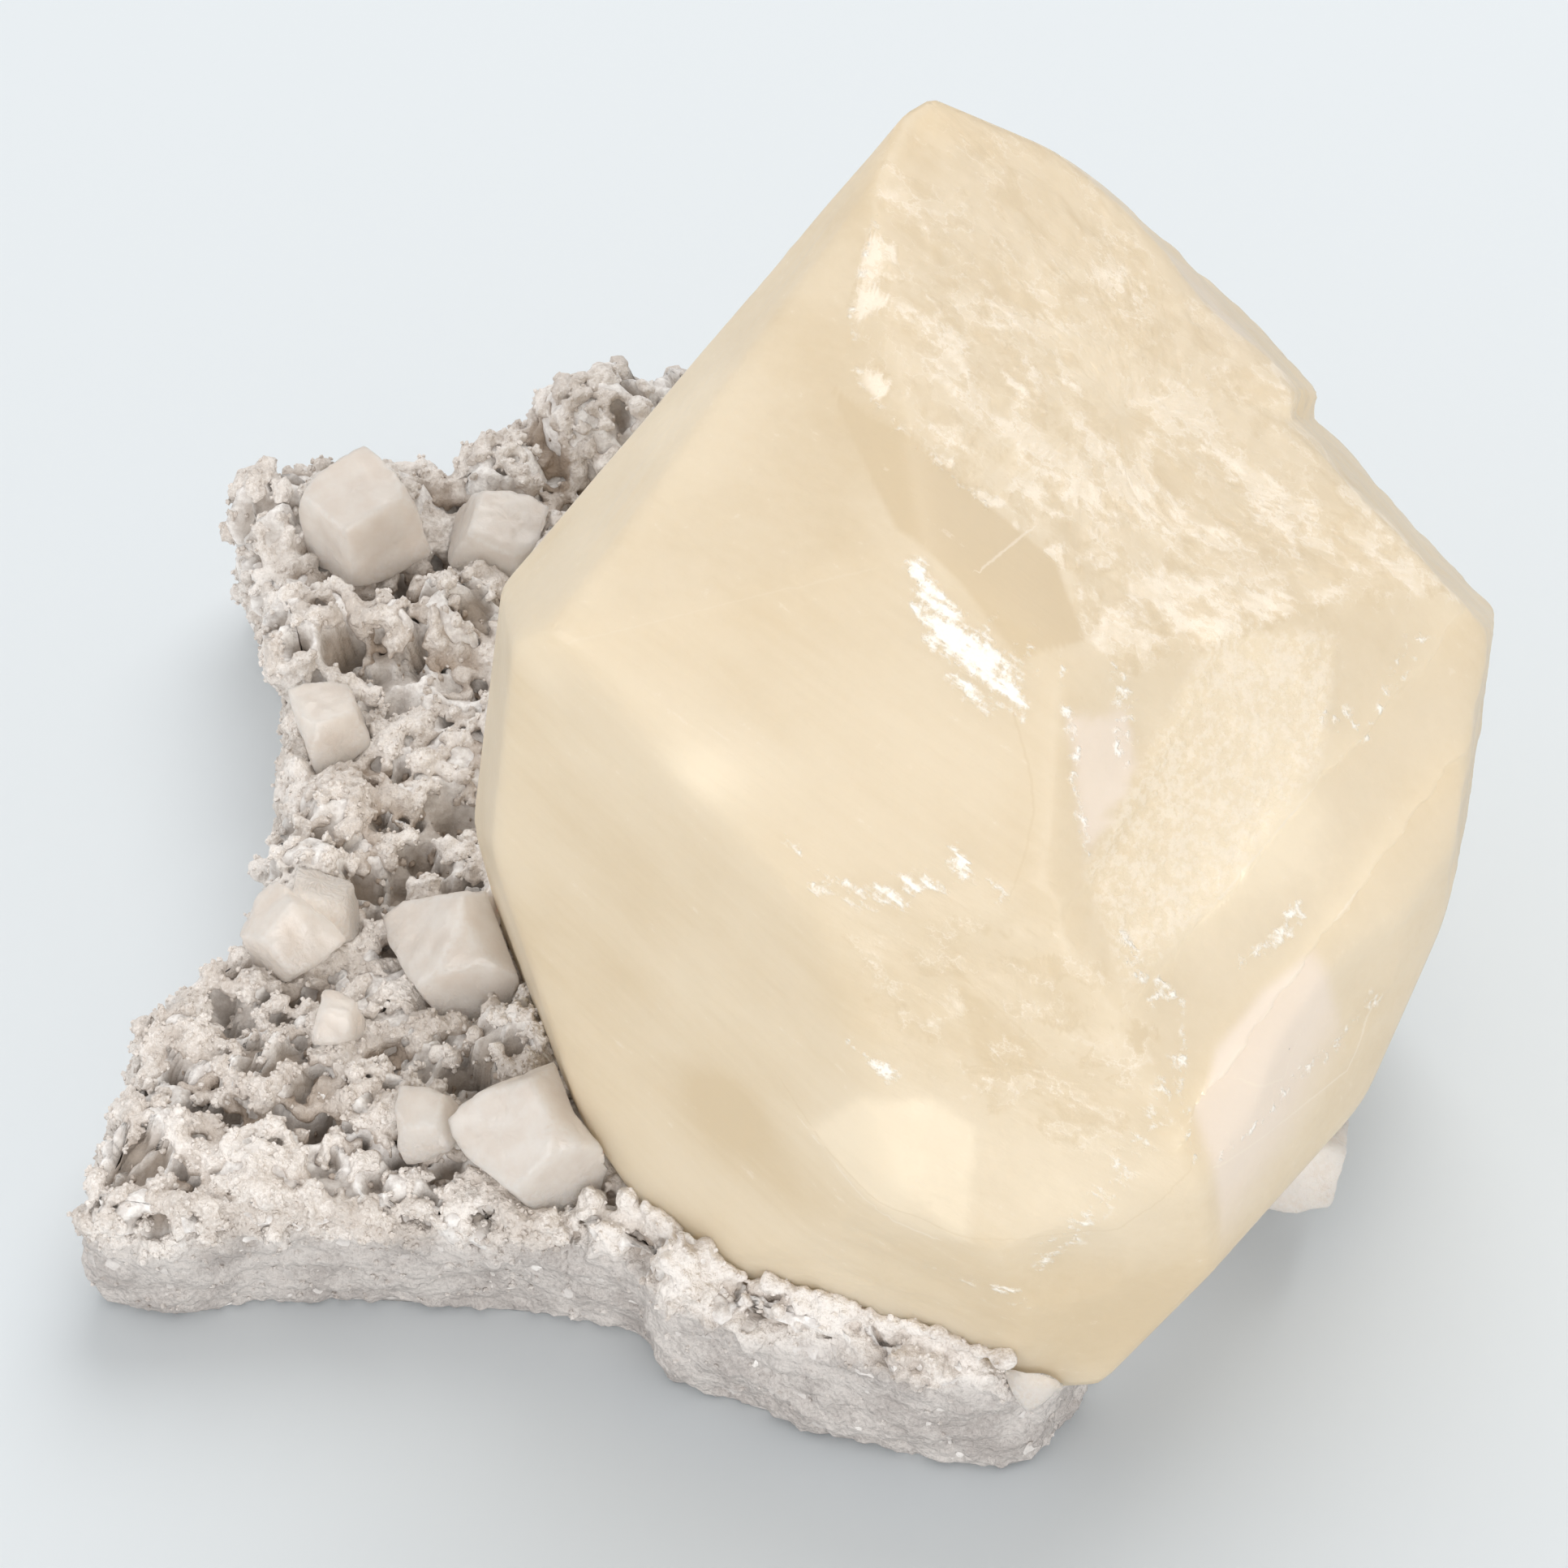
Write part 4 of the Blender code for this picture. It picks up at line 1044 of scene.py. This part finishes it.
def make_druse(points, faces, marks, material):
    """The druse: grains grown together into five crusts, and loose sugar on them."""
    dice = np.random.default_rng(SEED)
    centres, sizes = place_grains(points, faces, marks, dice)
    x, y = centres[:, 0], centres[:, 1]
    left, right = x < -12, x >= -12
    regions = {
        "druse_front_left": left & (y < -12), "druse_left": left & (y >= -12) & (y < 12),
        "druse_back_left": left & (y >= 12), "druse_front": right & (y < -4), "druse_back": right & (y >= -4),
    }
    spots = []
    for number, (name, chosen) in enumerate(regions.items()):
        cell = HIDDEN_DRUSE_CELL if name == "druse_back" else DRUSE_CELL
        crust, sides = melt(*ball_cluster(centres[chosen], sizes[chosen], DENTS, SEED + number), cell)
        front = broken_front(crust)
        # how far a point lies below the crust around it, which the finish paints as shade
        hollow_shade = smooth(depth_below_tops(crust), 0.2, 1.9) * (1 - front)
        weight = (1 - hollow_shade) * (1 - 0.8 * front) * (crust[:, 2] > 1.0) + 1e-6
        picked = dice.choice(len(crust), SUGAR_GRAINS[name], p=weight / weight.sum())
        spots.append(crust[picked] + dice.normal(0, 0.04, (len(picked), 3)))
        add_druse(make_piece(name, crust, sides, material, {"hollow_shade": hollow_shade, "front": front}))
    spots = np.vstack(spots)
    grains, sides = ball_cluster(spots, dice.uniform(*SUGAR_SIZES, len(spots)), SUGAR_DENTS, SEED + 9)
    sugar = make_piece("druse_sugar", grains, sides, material,
                       {"hollow_shade": np.zeros(len(grains)), "front": 0.7 * broken_front(grains)})
    sugar.data.polygons.foreach_set("use_smooth", np.zeros(len(sides), bool))
    add_druse(sugar)


def add_druse(piece):
    """The piece is carried by the specimen."""
    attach(piece, "root")


# Pieces

def make_piece(name, points, faces, material, marks=None, vectors=None):
    """A mesh object at the origin from points in the specimen's frame, with its marks as attributes."""
    mesh = bpy.data.meshes.new(name)
    mesh.vertices.add(len(points))
    mesh.vertices.foreach_set("co", ((points + SHIFT) * MM).astype(np.float32).ravel())
    mesh.loops.add(faces.size)
    mesh.loops.foreach_set("vertex_index", faces.astype(np.int32).ravel())
    mesh.polygons.add(len(faces))
    mesh.polygons.foreach_set("loop_start", np.arange(0, faces.size, 3, dtype=np.int32))
    mesh.polygons.foreach_set("use_smooth", np.ones(len(faces), bool))
    mesh.update(calc_edges=True)
    for kind, values in ((("FLOAT", "value"), marks or {}), (("FLOAT_VECTOR", "vector"), vectors or {})):
        for mark, value in values.items():
            layer = mesh.attributes.new(mark, kind[0], "POINT")
            layer.data.foreach_set(kind[1], value.astype(np.float32).ravel())
    if material:
        mesh.materials.append(material)
    piece = bpy.data.objects.new(name, mesh)
    bpy.context.scene.collection.objects.link(piece)
    return piece


def present(piece, node):
    """The piece stands for a node of the frame: the specimen carries it, and the node's own part is hidden."""
    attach(piece, "root")
    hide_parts(node)


# Finishes

class Wire:
    """A shader socket that adds Math nodes when it is added, subtracted, multiplied or made absolute."""

    def __init__(self, finish, socket):
        self.finish = finish
        self.socket = socket

    def math(self, operation, first, second=None):
        """The Math node of an operation on one or two values."""
        return self.finish.node("Math", {"operation": operation}, {0: first, 1: second})

    def __add__(self, other):
        return self.math("ADD", self, other)

    def __sub__(self, other):
        return self.math("SUBTRACT", self, other)

    def __rsub__(self, other):
        return self.math("SUBTRACT", other, self)

    def __mul__(self, other):
        return self.math("MULTIPLY", self, other)

    def __abs__(self):
        return self.math("ABSOLUTE", self)

    __radd__ = __add__
    __rmul__ = __mul__


class Finish:
    """A material, and short ways to add the nodes that it needs."""

    def __init__(self, name):
        self.material = bpy.data.materials.new(name)
        self.material.use_nodes = True
        self.tree = self.material.node_tree
        self.tree.nodes.clear()
        # the place in the specimen's frame, in mm: the place on the object / MM - SHIFT
        place = self.node("TexCoord", {}, {}, "Object")
        self.spot = self.node("VectorMath", {"operation": "MULTIPLY_ADD"},
                              {0: place, 1: (1 / MM,) * 3, 2: tuple(-SHIFT)})

    def node(self, kind, settings, sockets, out=0):
        """Any node: its settings first, then the values or wires of its sockets. Gives one of its outputs."""
        made = self.tree.nodes.new("ShaderNode" + kind)
        for key, value in settings.items():
            setattr(made, key, value)
        for key, value in sockets.items():
            if isinstance(value, Wire):
                self.tree.links.new(value.socket, made.inputs[key])
            elif value is not None:
                made.inputs[key].default_value = value
        return Wire(self, made.outputs[out]) if out is not None else None

    def mark(self, name, out="Fac"):
        """A mark that make_piece left on the mesh."""
        return self.node("Attribute", {"attribute_name": name}, {}, out)

    def noise(self, size, detail=3.0, spot=None, roughness=0.55):
        """Noise from 0 to 1 with features of the given size in mm."""
        return self.node("TexNoise", {}, {"Vector": spot or self.spot, "Scale": 1 / size, "Detail": detail,
                                          "Roughness": roughness})

    def cells(self, size):
        """Distance to the nearest of scattered spots, about size apart in mm."""
        return self.node("TexVoronoi", {}, {"Vector": self.spot, "Scale": 1 / size}, "Distance")

    def ease(self, value, low, high):
        """0 below low, 1 above high, and an S-curve between."""
        return self.node("MapRange", {"interpolation_type": "SMOOTHSTEP"},
                         {"Value": value, "From Min": low, "From Max": high, "To Min": 0.0, "To Max": 1.0})

    def blend(self, share, first, second):
        """The first colour, with a share of the second mixed in."""
        colours = [(*colour, 1.0) if isinstance(colour, tuple) else colour for colour in (first, second)]
        return self.node("Mix", {"data_type": "RGBA"}, {0: share, 6: colours[0], 7: colours[1]}, 2)

    def along(self, run, ratio):
        """The place pressed together along a direction, so that noise is drawn out along it."""
        run = unit(run)
        reach = self.node("VectorMath", {"operation": "DOT_PRODUCT"}, {0: self.spot, 1: tuple(run)}, "Value")
        reach = reach * (1 - 1 / ratio)
        pressed = self.node("VectorMath", {"operation": "SCALE"}, {0: tuple(run), "Scale": reach})
        return self.node("VectorMath", {"operation": "SUBTRACT"}, {0: self.spot, 1: pressed})

    def bump(self, height, depth):
        """Relief of the given depth in mm."""
        return self.node("Bump", {}, {"Strength": 1.0, "Distance": depth * MM, "Height": height})

    def shader(self, **values):
        """The stone's shader, its sockets given short names."""
        names = {"colour": "Base Color", "roughness": "Roughness", "ior": "IOR", "normal": "Normal",
                 "clear": "Transmission Weight", "gloss": "Specular IOR Level", "depth": "Subsurface Weight",
                 "radius": "Subsurface Radius", "scale": "Subsurface Scale"}
        return self.node("BsdfPrincipled", {"subsurface_method": "BURLEY"},
                         {names[key]: value for key, value in values.items()})

    def close(self, surface):
        """The finished material, with this shader as its surface."""
        self.node("OutputMaterial", {}, {"Surface": surface}, None)
        return self.material


def calcite_finish():
    """Milky honey calcite: clearer deep-honey windows, clouded cream with painted light on the upper left slope
    and the right side, and frosted white breaks.
    """
    stone = Finish("calcite_honey")
    white, glow, crust = stone.mark("white"), stone.mark("glow"), stone.mark("crust")
    sugar, pink, line = stone.mark("sugar"), stone.mark("pink"), stone.mark("hairline", "Vector")
    across, nearby, light = (stone.node("SeparateXYZ", {}, {0: line}, axis) for axis in range(3))
    fine = stone.noise(0.5, 3.0, roughness=0.7)
    streaks = stone.noise(0.55, 3.0, stone.along(PANE_RUN, 9))

    body = glow + (streaks - 0.5) * 0.5 + (fine - 0.5) * 0.25
    colour = stone.blend(stone.ease(body, -1.0, 0.5), HONEY, CREAM)
    colour = stone.blend(stone.ease(body, 0.3, 1.4), colour, GLOW)
    flakes = stone.noise(1.5, 4.0, stone.along(CRUST_FLOW, 1.6), 0.65)
    veins = 1 - stone.ease(abs(flakes - 0.51), 0.0, 0.022)
    folds = 1 - stone.ease(abs(flakes - 0.475), 0.0, 0.016)
    etched = stone.ease(crust, 0.04, 0.22)
    crusty = stone.ease(crust + (fine - 0.5) * 0.4 + (flakes - 0.5) * 1.2 * crust, 0.1, 1.0)
    colour = stone.blend(stone.ease(crusty + veins * etched * 0.45, 0.0, 1.1) * 0.85, colour, FROST)
    colour = stone.blend((folds * 0.4 + stone.ease(0.485 - flakes, 0.0, 0.09) * 0.6) * etched, colour, HONEY)
    grains = stone.ease(fine + (flakes - 0.5) * 0.6, 0.42, 0.62)
    colour = stone.blend(sugar * grains * 0.55, colour, FROST)
    colour = stone.blend(pink * 0.75, colour, PINKISH)

    torn = stone.ease(white * 0.8 + (fine - 0.5) * 2.4 + (streaks - 0.5) * 3.0, 0.25, 1.0)
    torn = torn * stone.ease(white, 0.02, 0.3)
    colour = stone.blend(torn * 0.75, colour, WHITE)
    colour = stone.blend(stone.ease(streaks + (fine - 0.5) * 0.6, 0.70, 0.80) * 0.35, colour, FROST)
    hair = 1 - stone.ease(abs(across + (fine - 0.5) * 0.25), 0.02, 0.12)
    hair = hair * stone.ease(nearby, 0.3, 0.6)
    colour = stone.blend(hair * stone.ease(light, 0.0, 0.8) * 0.6, colour, FROST)
    colour = stone.blend(hair * stone.ease(0 - light, 0.0, 0.8) * 0.55, colour, HONEY)
    specks = (1 - stone.ease(stone.cells(2.2), 0.02, 0.04)) * stone.ease(white + pink * 0.4, 0.2, 0.5)
    colour = stone.blend(specks * 0.7, colour, SPECK)

    frosted = torn * 0.9 + crusty * 0.6 + sugar * 0.4 + pink * 0.3
    rough = 0.10 + crusty * 0.8 + sugar + torn
    relief = stone.bump(fine * rough + streaks * 0.3, 0.14)
    inner = stone.shader(colour=colour, roughness=0.40 + frosted * 0.22, gloss=0.35, ior=1.55, clear=0.22,
                         depth=1.0, radius=(1.0, 0.86, 0.66), scale=0.004, normal=relief)
    outer = stone.shader(colour=colour, roughness=0.62, ior=1.5, normal=relief)
    cover = stone.node("MixShader", {}, {0: stone.ease(frosted, 0.0, 1.0), 1: inner, 2: outer})
    return stone.close(cover)


def crystal_finish():
    """Colourless calcite, cloudy and a little sugary at its foot, and lighter at its edges with frost and a
    painted highlight.
    """
    stone = Finish("calcite_colourless")
    mist = stone.noise(1.6, 4.0)
    fine = stone.noise(0.3, 3.0)
    sugar = stone.mark("sugar")
    colour = stone.blend(stone.ease(mist, 0.3, 0.7), CLEAR_DIM, CLEAR_MISTY)
    # lighter edges: frost, and a painted highlight
    colour = stone.blend(stone.mark("rim") * stone.ease(fine, 0.3, 0.6) * 0.7, colour, CLEAR_RIM_FROST_AND_HIGHLIGHT)
    colour = stone.blend(sugar * stone.ease(fine, 0.4, 0.6) * 0.8, colour, CLEAR_SUGAR)
    relief = stone.bump(fine * (sugar + 0.25), 0.12)
    return stone.close(stone.shader(colour=colour, roughness=0.30, ior=1.5, clear=0.46, depth=1.0,
                                    radius=(1.0, 0.92, 0.84), scale=0.003, normal=relief))


def slab_finish():
    """White druse rock: painted shade, dark and warm, in the hollows, and a fine grey-lavender broken front
    with level layers.
    """
    stone = Finish("druse_rock")
    hollow_shade, front = stone.mark("hollow_shade"), stone.mark("front")
    fine = stone.noise(0.45, 4.0)
    broad = stone.noise(3.0, 3.0)
    colour = stone.blend(stone.ease(fine, 0.35, 0.65), ROCK_DIM, ROCK_WHITE)
    layers = stone.noise(1.1, 4.0, stone.along((1, 0, 0), 7))
    grey = stone.blend(stone.ease(layers, 0.38, 0.62), ROCK_GREY_DARK, ROCK_GREY_PALE)
    colour = stone.blend(front * stone.ease(broad, 0.3, 0.55), colour, grey)
    # painted shade in the hollows
    colour = stone.blend(hollow_shade * 0.85, colour, ROCK_HOLLOW_SHADE)
    relief = stone.bump(fine + stone.noise(0.15, 2.0) * 0.5, 0.12)
    return stone.close(stone.shader(colour=colour, roughness=0.85, ior=1.5, gloss=0.3, normal=relief))


def druse_finish():
    """Sugary white druse: warm white knobs, painted shade, dark and brown, down in the pits, greyer on the
    broken front.
    """
    stone = Finish("druse_grains")
    hollow_shade, front = stone.mark("hollow_shade"), stone.mark("front")
    fine = stone.noise(0.26, 3.0, roughness=0.7)
    broad = stone.noise(3.5, 2.0)
    grains = stone.cells(0.42)
    colour = stone.blend(stone.ease(broad + (fine - 0.5) * 0.7, 0.36, 0.64), DRUSE_DIM, DRUSE_WHITE)
    grey = stone.blend(stone.ease(fine * 0.4 + broad * 0.6, 0.38, 0.60), DRUSE_GREY_DARK, DRUSE_GREY_PALE)
    colour = stone.blend(front, colour, grey)
    # painted shade in the pits
    colour = stone.blend(hollow_shade * 0.85, colour, DRUSE_HOLLOW_SHADE)
    relief = stone.bump(fine - grains * 0.8, 0.20)
    return stone.close(stone.shader(colour=colour, roughness=0.62, ior=1.5, gloss=0.4, normal=relief))


def floor_finish():
    """Plain matt floor."""
    paint = Finish("studio_floor")
    return paint.close(paint.shader(colour=FLOOR_TONE, roughness=0.9, ior=1.3, gloss=0.1))


# Studio

def make_studio():
    """Pale floor, soft light from above and behind, two weak lights that reach the pieces alone, and the
    camera at the photograph's angle."""
    scene = bpy.context.scene
    scene.view_settings.view_transform = "Standard"
    scene.cycles.max_bounces = 6
    scene.cycles.diffuse_bounces = 3
    scene.cycles.glossy_bounces = 2
    scene.cycles.transmission_bounces = 5
    grid = np.array([(-1, -1, 0), (1, -1, 0), (1, 1, 0), (-1, 1, 0)]) * FLOOR_REACH
    floor = make_piece("studio_floor", grid - SHIFT, np.array([(0, 1, 2), (0, 2, 3)]), floor_finish())

    world = bpy.data.worlds.new("studio")
    world.use_nodes = True
    world.node_tree.nodes["Background"].inputs["Color"].default_value = SKY_TONE
    world.node_tree.nodes["Background"].inputs["Strength"].default_value = SKY_STRENGTH
    scene.world = world

    target = (np.array(VIEW_TARGET) + SHIFT) * MM
    pieces = bpy.data.collections.new("pieces_lit_from_the_sides")
    for thing in bpy.data.objects:
        if thing.type == "MESH" and thing != floor:
            pieces.objects.link(thing)
    for name, (place, size, power) in LIGHTS.items():
        light = bpy.data.lights.new(name, "AREA")
        light.shape = "DISK"
        light.size = size
        light.energy = power
        lamp = bpy.data.objects.new(name, light)
        lamp.location = np.array(place) * MM
        lamp.rotation_euler = (Vector(target) - lamp.location).to_track_quat("-Z", "Y").to_euler()
        scene.collection.objects.link(lamp)
        if name != "key":
            lamp.light_linking.receiver_collection = pieces

    back = direction(VIEW_AZIMUTH, VIEW_ELEVATION)
    view = bpy.data.cameras.new("view")
    view.lens = VIEW_LENS
    view.sensor_width = SENSOR
    view.clip_start = 0.01
    camera = bpy.data.objects.new("view", view)
    camera.location = target + back * VIEW_DISTANCE * MM
    camera.rotation_euler = Vector(back).to_track_quat("Z", "Y").to_euler()
    scene.collection.objects.link(camera)
    scene.camera = camera


def find_shift():
    """The move from the specimen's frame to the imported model's, read at the calcite's left and back edges."""
    planes = calcite_planes()
    normals, distances = (np.array(column) for column in zip(*planes))
    corners = block_corners(normals, distances) + CALCITE_CENTRE
    low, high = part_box("yellow_calcite")
    return np.array([low.x / MM - corners[:, 0].min(), high.y / MM - corners[:, 1].max(), 0.0])


SHIFT = find_shift()
make_calcite(calcite_finish())
make_small_crystals(crystal_finish())
slab = make_matrix(slab_finish())
make_druse(*slab, druse_finish())
make_studio()
